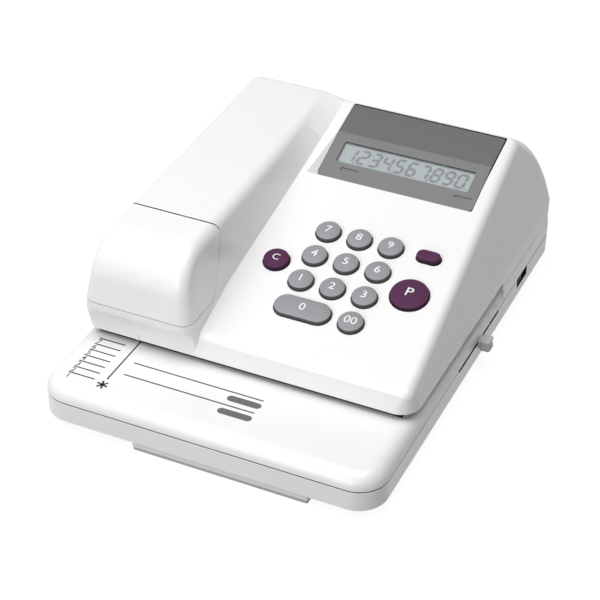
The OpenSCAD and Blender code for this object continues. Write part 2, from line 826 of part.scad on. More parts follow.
module key_cap(k) {
  on_panel() translate([k[1], k[2], 0]) {
    if (k[3] > 0) {
      r = k[3];
      crown = r * crown_share;
      cap_r = (r * r + crown * crown) / (2 * crown);
      intersection() {
        translate([0, 0, flange_top - flange_t])
          cylinder(h = key_proud - flange_top + flange_t, r = r);
        translate([0, 0, key_proud - cap_r]) sphere(cap_r, $fn = 96);
      }
      translate([0, 0, flange_top - flange_t]) cylinder(h = flange_t, r = r + flange_w);
      translate([0, 0, flange_top - flange_t - stem_l]) cylinder(h = stem_l, r = r * stem_share);
    } else {
      w = k[4];
      h = k[5];
      translate([0, 0, flange_top]) linear_extrude(key_proud - flange_top - rim_h)
        slot_plan(w, h);
      translate([0, 0, key_proud - rim_h]) linear_extrude(rim_h)
        slot_plan(w - 2 * rim_w, h - 2 * rim_w);
      translate([0, 0, flange_top - flange_t]) linear_extrude(flange_t)
        slot_plan(w + 2 * flange_w, h + 2 * flange_w);
      translate([0, 0, flange_top - flange_t - stem_l])
        cylinder(h = stem_l, r = h * stem_flat_share);
    }
  }
}

module keypad_key(name) {
  dark = name == "clear_key" || name == "print_key" || name == "mode_key";
  color(dark ? "purple" : "slategray") for (k = keys) if (k[0] == name) key_cap(k);
}

module key_mat() {
  color("lightgray") on_panel() {
    translate([pad_x0, pad_s0, mat_top - mat_t])
      cube([pad_x1 - pad_x0, pad_s1 - pad_s0, mat_t]);
  }
}

module key_board() {
  color("darkgreen") on_panel()
    translate([pad_x0, pad_s0, mat_top - mat_t - board_t])
      cube([pad_x1 - pad_x0, pad_s1 - pad_s0, board_t]);
}

main_x0 = -14;
main_x1 = 86;
main_clear = 6;
main_d = 86;
main_y1 = throat_end - main_clear;
main_y0 = main_y1 - main_d;
main_foot = 3;

module main_board() {
  color("darkgreen") {
    span([main_x0, main_y0, plate_z1 + main_foot],
         [main_x1, main_y1, plate_z1 + main_foot + board_t]);
    for (x = [main_x0 + 2 * main_foot, main_x1 - 2 * main_foot],
         y = [main_y0 + 2 * main_foot, main_y1 - 2 * main_foot])
      translate([x, y, plate_z1]) cylinder(h = main_foot, r = main_foot);
  }
}

// ---------------------------------------------------------------- gears

// Points of an involute flank, and a gear's outline
function inv(rb, t) = [rb * (cos(t) + t * PI / 180 * sin(t)),
                       rb * (sin(t) - t * PI / 180 * cos(t))];
function polar(p) = [norm(p), atan2(p[1], p[0])];
function inv_t(rb, r) = sqrt(max(0, r * r / (rb * rb) - 1)) * 180 / PI;
gear_play = 0.12;
pressure_angle = 20;
// Height of a tooth outside and inside the pitch circle, in modules
addendum = 0.9;
dedendum = 1.2;

module gear_plan(m, teeth, play = gear_play) {
  r = m * teeth / 2;
  rb = r * cos(pressure_angle);
  ro = r + addendum * m;
  rr = r - dedendum * m;
  at_pitch = polar(inv(rb, inv_t(rb, r)))[1];
  half = 90 / teeth - play / r * 90 / PI;
  t0 = rr > rb ? inv_t(rb, rr) : 0;
  t1 = inv_t(rb, ro);
  flank = [for (i = [0:4]) polar(inv(rb, t0 + (t1 - t0) * i / 4))];
  union() {
    circle(rr, $fn = 2 * teeth);
    for (k = [0:teeth - 1]) rotate(k * 360 / teeth)
      polygon(concat(
        [[(rr - m) * cos(half + at_pitch), -(rr - m) * sin(half + at_pitch)]],
        [for (p = flank) p[0] * [cos(p[1] - at_pitch - half), sin(p[1] - at_pitch - half)]],
        [for (i = [4:-1:0]) flank[i][0] * [cos(flank[i][1] - at_pitch - half),
                                         -sin(flank[i][1] - at_pitch - half)]],
        [[(rr - m) * cos(half + at_pitch), (rr - m) * sin(half + at_pitch)]]));
  }
}

// ---------------------------------------------------------------- print unit

plate_left_x = -82;
plate_right_x = -43;
plate_z0 = plate_z1 + 0.1;
// The raised hammer ends this far below the type
print_gap = 0.6;
hammer_top = z_bed - 0.2;
type_z = hammer_top + hammer_lift + print_gap + type_r;
plate_top = type_z + type_r + 12;
plate_slope_d = 18;
plate_slope_h = 10;
plate_front_d = 30;
plate_back_d = 78;
plate_y0 = print_y - plate_front_d;
plate_y1 = print_y + plate_back_d;
idler_y = print_y + gear_module * (type_teeth + idler_teeth) / 2;
pinion_y = idler_y + gear_module * (idler_teeth + pinion_teeth) / 2;
gear_x0 = plate_right_x - 1 - gear_w;
ink_gap = 0.3;
ink_y = print_y - (type_r + ink_r + ink_gap) * cos(ink_angle);
ink_z = type_z + (type_r + ink_r + ink_gap) * sin(ink_angle);
ink_axle_r = 1.5;
spacer_r = 2.5;
spacer_spots = [[plate_y0 + 6, plate_z0 + 6], [plate_y1 - 6, plate_z0 + 6],
                [plate_y1 - 6, plate_top - 8]];

// The upright on each plate whose open notch holds the cover's hinge pin
upright_front = 2.6;
upright_back = 1.5;

module side_plate(x) {
  color("silver") difference() {
    union() {
      translate([x, 0, 0]) rotate([90, 0, 90]) linear_extrude(plate_t)
        polygon([[plate_y0, plate_z0], [plate_y1, plate_z0], [plate_y1, plate_top],
                 [plate_y0 + plate_slope_d, plate_top], [plate_y0, plate_top - plate_slope_h]]);
      span([x, pivot_y - upright_front, type_z + type_r],
           [x + plate_t, pivot_y + upright_back, pivot_z]);
    }
    rod_x(x - over, x + plate_t + over, print_y, type_z, type_shaft_r + run);
    rod_x(x - over, x + plate_t + over, ink_y, ink_z, ink_axle_r);
    rod_x(x - over, x + plate_t + over, pivot_y, pivot_z, cover_pin_r + run);
  }
}

module frame_left_plate() {
  side_plate(plate_left_x - plate_t);
}

module frame_right_plate() {
  side_plate(plate_right_x);
}

module frame_spacers() {
  color("silver") for (p = spacer_spots) rod_x(plate_left_x, plate_right_x, p[0], p[1], spacer_r);
}

type_h = 1.6;
type_half = 1.8;
type_margin = 1;

module type_wheel() {
  body_r = type_r - type_h;
  color("dimgray") difference() {
    union() {
      rod_x(print_x - type_w / 2, print_x + type_w / 2, print_y, type_z, body_r);
      for (i = [0:type_count - 1])
        translate([print_x, print_y, type_z]) rotate([i * 360 / type_count, 0, 0])
          span([-type_w / 2 + type_margin, -type_half, -type_r],
               [type_w / 2 - type_margin, type_half, -body_r + over]);
    }
    rod_x(print_x - type_w, print_x + type_w, print_y, type_z, type_shaft_r);
  }
}

module type_shaft() {
  color("silver")
    rod_x(plate_left_x - 2 * plate_t, plate_right_x + 2 * plate_t, print_y, type_z, type_shaft_r);
}

module type_gear() {
  color("ivory") translate([gear_x0, print_y, type_z]) rotate([90, 0, 90])
    linear_extrude(gear_w) difference() {
      gear_plan(gear_module, type_teeth);
      circle(type_shaft_r);
    }
}

idler_pin_r = 2;
// Turns that bring each gear's tooth into the next one's gap
idler_turn = type_teeth % 2 == 0 ? 180 / idler_teeth : 0;
pinion_turn = (idler_turn + 180) * idler_teeth / pinion_teeth + 180 + 180 / pinion_teeth;

module idler_gear() {
  color("ivory") translate([gear_x0, idler_y, type_z]) rotate([90, 0, 90])
    linear_extrude(gear_w) difference() {
      rotate(180 + idler_turn) gear_plan(gear_module, idler_teeth);
      circle(idler_pin_r + run);
    }
}

module idler_pin() {
  color("silver") rod_x(gear_x0 - seat, plate_right_x, idler_y, type_z, idler_pin_r);
}

motor_x0 = plate_left_x + seat;
motor_x1 = gear_x0 - 2;
motor_boss_r = 4;
motor_boss_h = 1;
pinion_shaft_r = 1.2;

module select_motor() {
  color("gray") {
    rod_x(motor_x0, motor_x1, pinion_y, type_z, select_motor_r);
    rod_x(motor_x1, motor_x1 + motor_boss_h, pinion_y, type_z, motor_boss_r);
    rod_x(motor_x1 + motor_boss_h, plate_right_x - seat, pinion_y, type_z, pinion_shaft_r);
  }
}

module motor_pinion() {
  color("ivory") translate([gear_x0, pinion_y, type_z]) rotate([90, 0, 90])
    linear_extrude(gear_w) difference() {
      rotate(180 + pinion_turn) gear_plan(gear_module, pinion_teeth);
      circle(pinion_shaft_r + run);
    }
}

ink_x0 = print_x - type_w / 2 - 1;
ink_x1 = print_x + type_w / 2 + 1;
collar_w = 2;

module ink_roller() {
  color("midnightblue") difference() {
    rod_x(ink_x0, ink_x1, ink_y, ink_z, ink_r);
    rod_x(print_x - type_w, print_x + type_w, ink_y, ink_z, ink_axle_r + run);
  }
}

module ink_roller_axle() {
  color("silver") {
    rod_x(plate_left_x - plate_t, plate_right_x + plate_t, ink_y, ink_z, ink_axle_r - run);
    for (x = [ink_x0 - seat - collar_w, ink_x1 + seat])
      rod_x(x, x + collar_w, ink_y, ink_z, 2 * ink_axle_r);
  }
}

// ---------------------------------------------------------------- hammer

coil_r = 9;
plunger_r = 4;
coil_l = 8.4;
coil_z0 = floor_z + 1.5;
coil_z1 = coil_z0 + coil_l;
yoke_w = 24;
yoke_d = 20;
yoke_t = 1.5;
yoke_top_t = 1.2;

module hammer_coil() {
  color("peru") difference() {
    translate([print_x, print_y, coil_z0]) cylinder(h = coil_z1 - coil_z0, r = coil_r);
    translate([print_x, print_y, coil_z0 - over])
      cylinder(h = coil_z1 - coil_z0 + 2 * over, r = plunger_r + run);
  }
}

module hammer_yoke() {
  color("silver") difference() {
    union() {
      span([print_x - yoke_w / 2, print_y - yoke_d / 2, floor_z],
           [print_x + yoke_w / 2, print_y + yoke_d / 2, coil_z0]);
      span([print_x - yoke_w / 2, print_y - yoke_d / 2, coil_z1],
           [print_x + yoke_w / 2, print_y + yoke_d / 2, coil_z1 + yoke_top_t]);
      for (x = [print_x - yoke_w / 2, print_x + yoke_w / 2 - yoke_t])
        span([x, print_y - yoke_d / 2, floor_z],
             [x + yoke_t, print_y + yoke_d / 2, coil_z1 + yoke_top_t]);
    }
    translate([print_x, print_y, coil_z1 - over])
      cylinder(h = yoke_top_t + 2 * over, r = plunger_r + run);
  }
}

module hammer_plunger() {
  color("gray") {
    translate([print_x, print_y, coil_z0 + seat])
      cylinder(h = hammer_top - coil_z0 - seat, r = plunger_r);
    translate([print_x, print_y, coil_z1 + yoke_top_t + seat])
      cylinder(h = hammer_top - coil_z1 - yoke_top_t - seat, r = hammer_r);
  }
}

// ---------------------------------------------------------------- feed

feed_gear_y0 = feed_y1 + 22;
feed_gear_w = 4;
feed_shaft_y0 = feed_y0 - 8;
feed_shaft_y1 = feed_gear_y0 + feed_gear_w + 1;
feed_centres = feed_module * (feed_teeth + feed_pinion_teeth) / 2;
feed_motor_z = floor_z + feed_motor_r + 0.2;
feed_motor_x = feed_x + sqrt(pow(feed_centres, 2) - pow(feed_z - feed_motor_z, 2));
feed_mesh = atan2(feed_motor_z - feed_z, feed_motor_x - feed_x);
bearing_t = 3;
bearing_spots = [feed_y0 - 6, feed_y1 + 12];

module feed_roller() {
  color("dimgray") difference() {
    rod_y(feed_x, feed_y0, feed_y1, feed_z, feed_r);
    rod_y(feed_x, feed_y0 - over, feed_y1 + over, feed_z, feed_shaft_r);
  }
}

module feed_shaft() {
  color("silver") rod_y(feed_x, feed_shaft_y0, feed_shaft_y1, feed_z, feed_shaft_r);
}

module feed_bearings() {
  color("whitesmoke") for (y = bearing_spots) difference() {
    span([feed_x - 2 * feed_shaft_r, y, floor_z],
         [feed_x + 2 * feed_shaft_r, y + bearing_t, feed_z + 2 * feed_shaft_r]);
    rod_y(feed_x, y - over, y + bearing_t + over, feed_z, feed_shaft_r + run);
  }
}

// Angles are taken in a plane that looks forward, so that X runs to the left
module feed_gear() {
  color("ivory") translate([feed_x, feed_gear_y0 + feed_gear_w, feed_z]) rotate([90, 0, 0])
    linear_extrude(feed_gear_w) difference() {
      rotate(feed_mesh) gear_plan(feed_module, feed_teeth);
      circle(feed_shaft_r);
    }
}

feed_pinion_shaft_r = 0.8;
feed_motor_l = 25;
feed_motor_y0 = feed_gear_y0 + feed_gear_w + 1.5;

module feed_pinion() {
  color("ivory") translate([feed_motor_x, feed_gear_y0 + feed_gear_w, feed_motor_z])
    rotate([90, 0, 0]) linear_extrude(feed_gear_w) difference() {
      rotate(feed_mesh + 180 + 180 / feed_pinion_teeth)
        gear_plan(feed_module, feed_pinion_teeth);
      circle(feed_pinion_shaft_r + run);
    }
}

module feed_motor() {
  color("gray") {
    rod_y(feed_motor_x, feed_motor_y0, feed_motor_y0 + feed_motor_l, feed_motor_z,
          feed_motor_r);
    rod_y(feed_motor_x, feed_gear_y0 - seat, feed_motor_y0, feed_motor_z, feed_pinion_shaft_r);
  }
}

pinch_axle_r = 1.2;

module pinch_roller() {
  color("dimgray") difference() {
    rod_y(feed_x, feed_y0, feed_y1, pinch_z, pinch_r);
    rod_y(feed_x, feed_y0 - over, feed_y1 + over, pinch_z, pinch_axle_r + run);
  }
}

module pinch_bracket() {
  color("silver") {
    rod_y(feed_x, feed_y0 - pinch_end, feed_y1 + pinch_end, pinch_z, pinch_axle_r);
    difference() {
      span([feed_x - pinch_r - pinch_flange, pinch_y0, plate_z1],
           [feed_x + pinch_r + pinch_flange, pinch_y1, pinch_z + pinch_r + wall]);
      span([feed_x - pinch_r - pinch_end, feed_y0 - pinch_end, plate_z1 - over],
           [feed_x + pinch_r + pinch_end, feed_y1 + pinch_end, pinch_z + pinch_r + pinch_end]);
    }
    for (y = [pinch_y0, feed_y1 + pinch_end])
      span([feed_x - pinch_r, y, z_head], [feed_x + pinch_r, y + pinch_wall, pinch_z + pinch_r]);
  }
}

// ---------------------------------------------------------------- check stop

stop_plate_t = 1.1;
stop_plate_z1 = bed_under - seat;
stop_plate_z0 = stop_plate_z1 - stop_plate_t;
stop_arm_z1 = z_part - 0.2;
stop_arm_z0 = slot_z0 + 0.2;
side_in_x = base_w / 2 - wall;
stop_half = 2.5;
stop_in_x = side_in_x - 6;

module stop_slide() {
  color("silver") {
    span([tab_x[0] - 2 * tab_w, stop_y - stop_half, stop_plate_z0],
         [stop_in_x, stop_y + stop_half, stop_plate_z1]);
    for (x = tab_x)
      span([x - tab_w / 2, stop_y - tab_t / 2, stop_plate_z0],
           [x + tab_w / 2, stop_y + tab_t / 2, z_head - seat]);
    span([stop_in_x - stop_plate_t, stop_y - stop_half, stop_arm_z0],
         [stop_in_x, stop_y + stop_half, stop_plate_z1]);
    span([stop_in_x - stop_plate_t, stop_y - stop_half, stop_arm_z0],
         [base_w / 2 + seat, stop_y + stop_half, stop_arm_z1]);
  }
}

knob_z = (stop_arm_z0 + stop_arm_z1) / 2;

module lever_knob() {
  color("gray")
    span([base_w / 2 + seat, stop_y - knob_l / 2, knob_z - knob_h / 2],
         [base_w / 2 + seat + knob_out, stop_y + knob_l / 2, knob_z + knob_h / 2]);
}

// ---------------------------------------------------------------- power

switch_knob_y0 = switch_y0 + switch_lip + switch_play;
switch_body_d = 10;
switch_room_d = 5;

module switch_body() {
  color("black") difference() {
    span([side_in_x - switch_body_d, switch_y0 - switch_lip, floor_z],
         [side_in_x - seat, switch_y1 + switch_lip, z_part - seat]);
    span([side_in_x - switch_room_d, switch_y0 + switch_lip, switch_z0 + switch_lip],
         [side_in_x + over, switch_y1 - switch_lip, z_part - seat - switch_lip]);
  }
}

module switch_knob() {
  color("black")
    span([side_in_x - switch_room_d + seat, switch_knob_y0, switch_z0 + switch_lip + seat],
         [base_w / 2 - 2 * seat, switch_knob_y0 + switch_knob_l,
          z_part - 2 * seat - switch_lip]);
}

jack_d = 12;
jack_bore_d = 10;
jack_bore_r = 2.8;
jack_pin_r = 1;
jack_in = 0.4;

module adapter_jack() {
  color("black") difference() {
    span([jack_x - jack_w / 2 + seat, base_back - jack_d, well_floor],
         [jack_x + jack_w / 2 - seat, base_back - jack_in, jack_z + jack_h / 2 - seat]);
    difference() {
      rod_y(jack_x, base_back - jack_bore_d, base_back + over, jack_z, jack_bore_r);
      rod_y(jack_x, base_back - jack_bore_d, base_back - 2 * jack_pin_r, jack_z, jack_pin_r);
    }
  }
}

module case_screws() {
  color("silver") {
    for (p = screw_spots) translate([p[0], p[1], z_base + seat / 2]) {
      cylinder(h = screw_head_h, r = screw_head_r);
      cylinder(h = base_low_h + (p[1] < 0 ? base_up_h / 2 : base_up_h + screw_reach),
               r = screw_r - run);
    }
  }
}

translate([base_aside, 0, 0]) {
  base_lower_shell();
  base_upper_shell();
  front_foot_strip();
  rear_foot_pads();
  battery_cover();
  battery_cells();
  battery_contacts();
  head_shell();
  head_bottom_plate();
  ink_cover();
  cover_hinge_pin();
  display_bezel();
  display_window();
  lcd_panel();
  key_board();
  key_mat();
  main_board();
  keypad_key("key_0");  // key_0
  keypad_key("key_00");  // key_00
  keypad_key("key_1");  // key_1
  keypad_key("key_2");  // key_2
  keypad_key("key_3");  // key_3
  keypad_key("key_4");  // key_4
  keypad_key("key_5");  // key_5
  keypad_key("key_6");  // key_6
  keypad_key("key_7");  // key_7
  keypad_key("key_8");  // key_8
  keypad_key("key_9");  // key_9
  keypad_key("clear_key");  // clear_key
  keypad_key("print_key");  // print_key
  keypad_key("mode_key");  // mode_key
  frame_left_plate();
  frame_right_plate();
  frame_spacers();
  type_wheel();
  type_shaft();
  type_gear();
  idler_gear();
  idler_pin();
  select_motor();
  motor_pinion();
  ink_roller();
  ink_roller_axle();
  hammer_coil();
  hammer_yoke();
  hammer_plunger();
  feed_roller();
  feed_shaft();
  feed_bearings();
  feed_gear();
  feed_motor();
  feed_pinion();
  pinch_roller();
  pinch_bracket();
  stop_slide();
  lever_knob();
  switch_body();
  switch_knob();
  adapter_jack();
  case_screws();
}
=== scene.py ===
"""Looks of a desktop electronic check writer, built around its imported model.

Shapes are worked out in millimetres, in the part's own frame: X to the right, Y to the
back, Z up from the table. A finished piece is scaled to metres and left at the origin.
"""
import json
import logging
import math
from dataclasses import dataclass, field
from enum import Enum
from typing import Callable, Optional, Sequence, Union

import bmesh
import bpy
import numpy as np
from mathutils import Matrix, Vector
from mathutils.bvhtree import BVHTree


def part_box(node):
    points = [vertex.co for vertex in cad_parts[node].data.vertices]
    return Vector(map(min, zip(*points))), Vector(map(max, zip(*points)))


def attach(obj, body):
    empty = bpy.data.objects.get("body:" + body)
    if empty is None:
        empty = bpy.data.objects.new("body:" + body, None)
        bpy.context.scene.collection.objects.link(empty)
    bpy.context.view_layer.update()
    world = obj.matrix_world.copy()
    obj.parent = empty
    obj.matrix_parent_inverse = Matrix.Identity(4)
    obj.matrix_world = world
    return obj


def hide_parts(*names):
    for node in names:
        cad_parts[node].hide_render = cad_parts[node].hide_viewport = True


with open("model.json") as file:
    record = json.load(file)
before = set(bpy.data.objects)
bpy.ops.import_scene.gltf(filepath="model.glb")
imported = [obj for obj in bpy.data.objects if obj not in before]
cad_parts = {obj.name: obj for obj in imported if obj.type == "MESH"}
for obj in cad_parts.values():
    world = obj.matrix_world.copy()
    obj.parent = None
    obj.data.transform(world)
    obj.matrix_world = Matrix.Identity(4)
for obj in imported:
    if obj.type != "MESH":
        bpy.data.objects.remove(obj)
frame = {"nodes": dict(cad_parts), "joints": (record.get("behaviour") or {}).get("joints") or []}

log = logging.getLogger("check_writer")

MM = 0.001
CASE = "case"
# Cutters run this far past what they cut
OVER = 1.0
# Gap between pieces that seat on each other
SEAT = 0.3
# Margin within which places agree, and within which a ball's point is a hull's outermost
NEAR = 0.02
# What keeps two faces out of one plane, such as a pin's and its bore's
PLAY = 0.05
# What keeps a rounding short of half a side, and print off its face
TINY = 0.01
# Lengths that differ by less are the same
SAME = 1e-4
# Points of a cut shell are merged within this much
WELD = 0.004
# Cutters that pass right through reach this far
FAR = 20.0
# The base's middle, which stands aside of the frame's origin, in metres
ASIDE = Vector((sum(corner.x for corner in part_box("base_upper_shell")) / 2, 0, 0))

Triple = Sequence[float]
Tree = bpy.types.NodeTree
Socket = bpy.types.NodeSocket
Node = bpy.types.Node
Mesh = bmesh.types.BMesh
Edge = bmesh.types.BMEdge
Face = bmesh.types.BMFace
Material = bpy.types.Material


def low(node: str) -> Vector:
    """Lowest corner of a CAD node, in millimetres."""
    return (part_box(node)[0] - ASIDE) / MM


def high(node: str) -> Vector:
    """Highest corner of a CAD node, in millimetres."""
    return (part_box(node)[1] - ASIDE) / MM


def span(node: str) -> tuple[Vector, Vector]:
    """Lowest and highest corner of a CAD node, in millimetres."""
    return low(node), high(node)


def middle(node: str) -> Vector:
    """Centre of a CAD node's box, in millimetres."""
    return (low(node) + high(node)) / 2


# --- shader maths


class Wire:
    """A socket of a material's tree that can be used in arithmetic."""

    def __init__(self, tree: Tree, socket: Socket) -> None:
        """Wraps a socket."""
        self.tree = tree
        self.socket = socket

    def _math(self, operation: str, *values: Union["Wire", float]) -> "Wire":
        """A Math node on these values."""
        node = self.tree.nodes.new("ShaderNodeMath")
        node.operation = operation
        for socket, value in zip(node.inputs, values):
            plug(self.tree, socket, value)
        return Wire(self.tree, node.outputs[0])

    def __add__(self, other: Union["Wire", float]) -> "Wire":
        """This plus other."""
        return self._math("ADD", self, other)

    __radd__ = __add__

    def __sub__(self, other: Union["Wire", float]) -> "Wire":
        """This less other."""
        return self._math("SUBTRACT", self, other)

    def __rsub__(self, other: float) -> "Wire":
        """Other less this."""
        return self._math("SUBTRACT", other, self)

    def __mul__(self, other: Union["Wire", float]) -> "Wire":
        """This times other."""
        return self._math("MULTIPLY", self, other)

    __rmul__ = __mul__

    def above(self, level: float) -> "Wire":
        """1 where this is above a level, and 0 elsewhere."""
        return self._math("GREATER_THAN", self, level)

    def wave(self) -> "Wire":
        """The sine of this."""
        return self._math("SINE", self)

    def clamped(self) -> "Wire":
        """This, kept from 0 to 1."""
        made = self._math("ADD", self, 0.0)
        made.socket.node.use_clamp = True
        return made


def plug(tree: Tree, socket: Socket, value: object) -> None:
    """Links a wire to an input socket, or sets the socket to a constant."""
    if isinstance(value, Wire):
        tree.links.new(value.socket, socket)
    else:
        socket.default_value = value


class Paint:
    """A material's node tree, with its Principled shader."""

    def __init__(self, name: str) -> None:
        """Makes a material."""
        self.material = bpy.data.materials.new(name)
        self.material.use_nodes = True
        self.tree = self.material.node_tree
        self.shader = self.tree.nodes["Principled BSDF"]
        coordinates = self.tree.nodes.new("ShaderNodeTexCoord")
        self.place = Wire(self.tree, coordinates.outputs["Object"])

    def node(self, kind: str, settings: Optional[dict] = None, **values: object) -> Node:
        """A node of any type.

        Args:
            kind: The node's type.
            settings: Its own settings, such as an operation, which are set first.
            values: Wires or values for its sockets, by their names with _ for a space.

        Returns:
            The node.
        """
        node = self.tree.nodes.new(kind)
        for key, value in (settings or {}).items():
            setattr(node, key, value)
        for key, value in values.items():
            plug(self.tree, node.inputs[key.replace("_", " ")], value)
        return node

    def out(self, node: Node, name: Union[str, int] = 0) -> Wire:
        """One of a node's outputs."""
        return Wire(self.tree, node.outputs[name])

    def noise(self, size_mm: float, detail: float = 2.0, roughness: float = 0.5,
              place: Optional[Wire] = None) -> Wire:
        """Noise from 0 to 1.

        Args:
            size_mm: The size of a feature, in millimetres.
            detail: The number of finer layers.
            roughness: How strong the finer layers are.
            place: The coordinates, if they aren't the object's own.

        Returns:
            The noise.
        """
        return self.out(self.node("ShaderNodeTexNoise", Vector=place or self.place,
                                  Scale=1 / (size_mm * MM), Detail=detail,
                                  Roughness=roughness), "Fac")

    def mix(self, share: Wire, first: Triple, second: Triple) -> Wire:
        """A mix of two linear colours, with a share of the second."""
        node = self.node("ShaderNodeMix", {"data_type": "RGBA"})
        for socket, value in ((0, share), (6, (*first, 1.0)), (7, (*second, 1.0))):
            plug(self.tree, node.inputs[socket], value)
        return self.out(node, 2)

    def axis(self, name: str) -> Wire:
        """The X, Y or Z of the object's own coordinates, in metres."""
        return self.out(self.node("ShaderNodeSeparateXYZ", Vector=self.place), name)

    def bump(self, height: Wire, depth_mm: float) -> Wire:
        """A normal from a height of 0 to 1, whose full depth is in millimetres."""
        return self.out(self.node("ShaderNodeBump", Height=height, Distance=depth_mm * MM,
                                  Strength=1.0))

    def set(self, **values: object) -> None:
        """Sets the shader's sockets to wires or to constants, by name with _ for a space."""
        for key, value in values.items():
            plug(self.tree, self.shader.inputs[key.replace("_", " ")], value)


def shade(colour: Triple, factor: float) -> tuple[float, ...]:
    """A colour made lighter or darker by a factor."""
    return tuple(min(1.0, part * factor) for part in colour)


@dataclass(frozen=True)
class Finish:
    """What every finish has.

    Attributes:
        name: The material's name.
        colour: Its linear colour.
    """

    name: str
    colour: Triple

    def material(self) -> Material:
        """Makes the material."""
        paint = Paint(self.name)
        paint.set(**self.sockets(paint))
        return paint.material

    def sockets(self, paint: Paint) -> dict[str, object]:
        """What goes into the shader's sockets, by their names."""
        return {"Base_Color": (*self.colour, 1.0)}

    def shades(self, paint: Paint, share: Wire, first: float, second: float) -> Wire:
        """A mix of two shades of the colour, with a share of the second."""
        return paint.mix(share, shade(self.colour, first), shade(self.colour, second))


@dataclass(frozen=True)
class Moulded(Finish):
    """Moulded plastic or rubber with a fine grain and faint flow marks.

    Attributes:
        roughness: Its middle roughness.
        grain_mm: The size of its grain.
        grain_depth_mm: The depth of its grain.
        drift: How far the colour drifts over the surface, as a share.
        coat: The weight of a clear coat.
        shine: The level of its reflections, where 0.5 is common plastic.
    """

    roughness: float = 0.35
    grain_mm: float = 0.35
    grain_depth_mm: float = 0.004
    drift: float = 0.025
    coat: float = 0.0
    shine: float = 0.5

    def sockets(self, paint: Paint) -> dict[str, object]:
        """What goes into the shader's sockets, by their names."""
        broad = paint.noise(38.0, 3.0)
        fine = paint.noise(self.grain_mm, 2.0, 0.6)
        speck = paint.noise(1.1, 1.0).above(0.76) * 0.25
        share = (broad * 0.75 + fine * 0.25 + speck).clamped()
        return dict(
            Base_Color=self.shades(paint, share, 1 - self.drift, 1 + self.drift),
            Roughness=(broad * 0.08 + fine * 0.10 + (self.roughness - 0.09)).clamped(),
            Normal=paint.bump(fine, self.grain_depth_mm),
            Coat_Weight=self.coat,
            Coat_Roughness=0.08,
            Specular_IOR_Level=self.shine,
        )


@dataclass(frozen=True)
class Plated(Finish):
    """Plated or bare metal with drawn scratches along one axis.

    Attributes:
        roughness: Its middle roughness.
        along: The axis that the scratches run along.
    """

    colour: Triple = (0.56, 0.57, 0.58)
    roughness: float = 0.32
    along: str = "Y"

    def sockets(self, paint: Paint) -> dict[str, object]:
        """What goes into the shader's sockets, by their names."""
        stretch = {"X": (0.03, 1.0, 1.0), "Y": (1.0, 0.03, 1.0), "Z": (1.0, 1.0, 0.03)}
        drawn = paint.out(paint.node("ShaderNodeMapping", Vector=paint.place,
                                     Scale=stretch[self.along]))
        scratch = paint.noise(0.25, 3.0, place=drawn)
        stain = paint.noise(6.0, 4.0)
        return dict(
            Base_Color=self.shades(paint, stain, 0.86, 1.08),
            Metallic=1.0,
            Roughness=(scratch * 0.18 + stain * 0.12 + (self.roughness - 0.15)).clamped(),
            Normal=paint.bump(scratch, 0.003),
        )


@dataclass(frozen=True)
class Glass(Finish):
    """A clear plate with faint smears.

    Attributes:
        clear: How much of what is behind it shows.
    """

    colour: Triple = (0.80, 0.86, 0.86)
    clear: float = 0.86

    def sockets(self, paint: Paint) -> dict[str, object]:
        """What goes into the shader's sockets, by their names."""
        smear = paint.noise(9.0, 4.0, 0.65)
        return dict(
            Base_Color=self.shades(paint, smear, 0.94, 1.0),
            Roughness=(smear * 0.10 + 0.03).clamped(),
            Alpha=(smear * 0.05 + (1 - self.clear)).clamped(),
            Normal=paint.bump(smear, 0.002),
        )


@dataclass(frozen=True)
class Wound(Finish):
    """Enamelled wire wound in turns up the Z axis.

    Attributes:
        wire_mm: The wire's diameter.
    """

    wire_mm: float = 0.4

    def sockets(self, paint: Paint) -> dict[str, object]:
        """What goes into the shader's sockets, by their names."""
        turns = paint.axis("Z") * (2 * math.pi / (self.wire_mm * MM))
        ridge = turns.wave() * 0.5 + 0.5
        return dict(
            # Painted shade and highlight: darker in the valleys between the turns and lighter on
            # their crests, besides the bump
            Base_Color=self.shades(paint, ridge, 0.45, 1.15),
            Roughness=(paint.noise(1.0) * 0.2 + 0.2).clamped(),
            Metallic=0.6,
            Normal=paint.bump(ridge, self.wire_mm / 3),
        )


@dataclass(frozen=True)
class Etched(Finish):
    """A circuit board's solder mask over its copper tracks.

    Attributes:
        track: The colour of the mask over copper.
    """

    colour: Triple = (0.012, 0.10, 0.045)
    track: Triple = (0.03, 0.20, 0.09)

    def sockets(self, paint: Paint) -> dict[str, object]:
        """What goes into the shader's sockets, by their names."""
        cells = paint.node("ShaderNodeTexVoronoi",
                           {"distance": "CHEBYCHEV", "feature": "F1"},
                           Vector=paint.place, Scale=1 / (3.2 * MM))
        copper = (paint.out(cells, "Distance") * 9.0).wave().above(0.35)
        return dict(
            Base_Color=paint.mix(copper, self.colour, self.track),
            Roughness=(paint.noise(2.0) * 0.15 + 0.28).clamped(),
            Normal=paint.bump(copper, 0.03),
        )


@dataclass(frozen=True)
class Felt(Finish):
    """Felt that is soaked in ink."""

    def sockets(self, paint: Paint) -> dict[str, object]:
        """What goes into the shader's sockets, by their names."""
        fibre = paint.noise(0.5, 6.0, 0.75)
        wet = paint.noise(4.0, 3.0)
        return dict(
            Base_Color=self.shades(paint, fibre, 0.5, 1.8),
            Roughness=(wet * 0.5 + 0.35).clamped(),
            Normal=paint.bump(fibre, 0.12),
        )


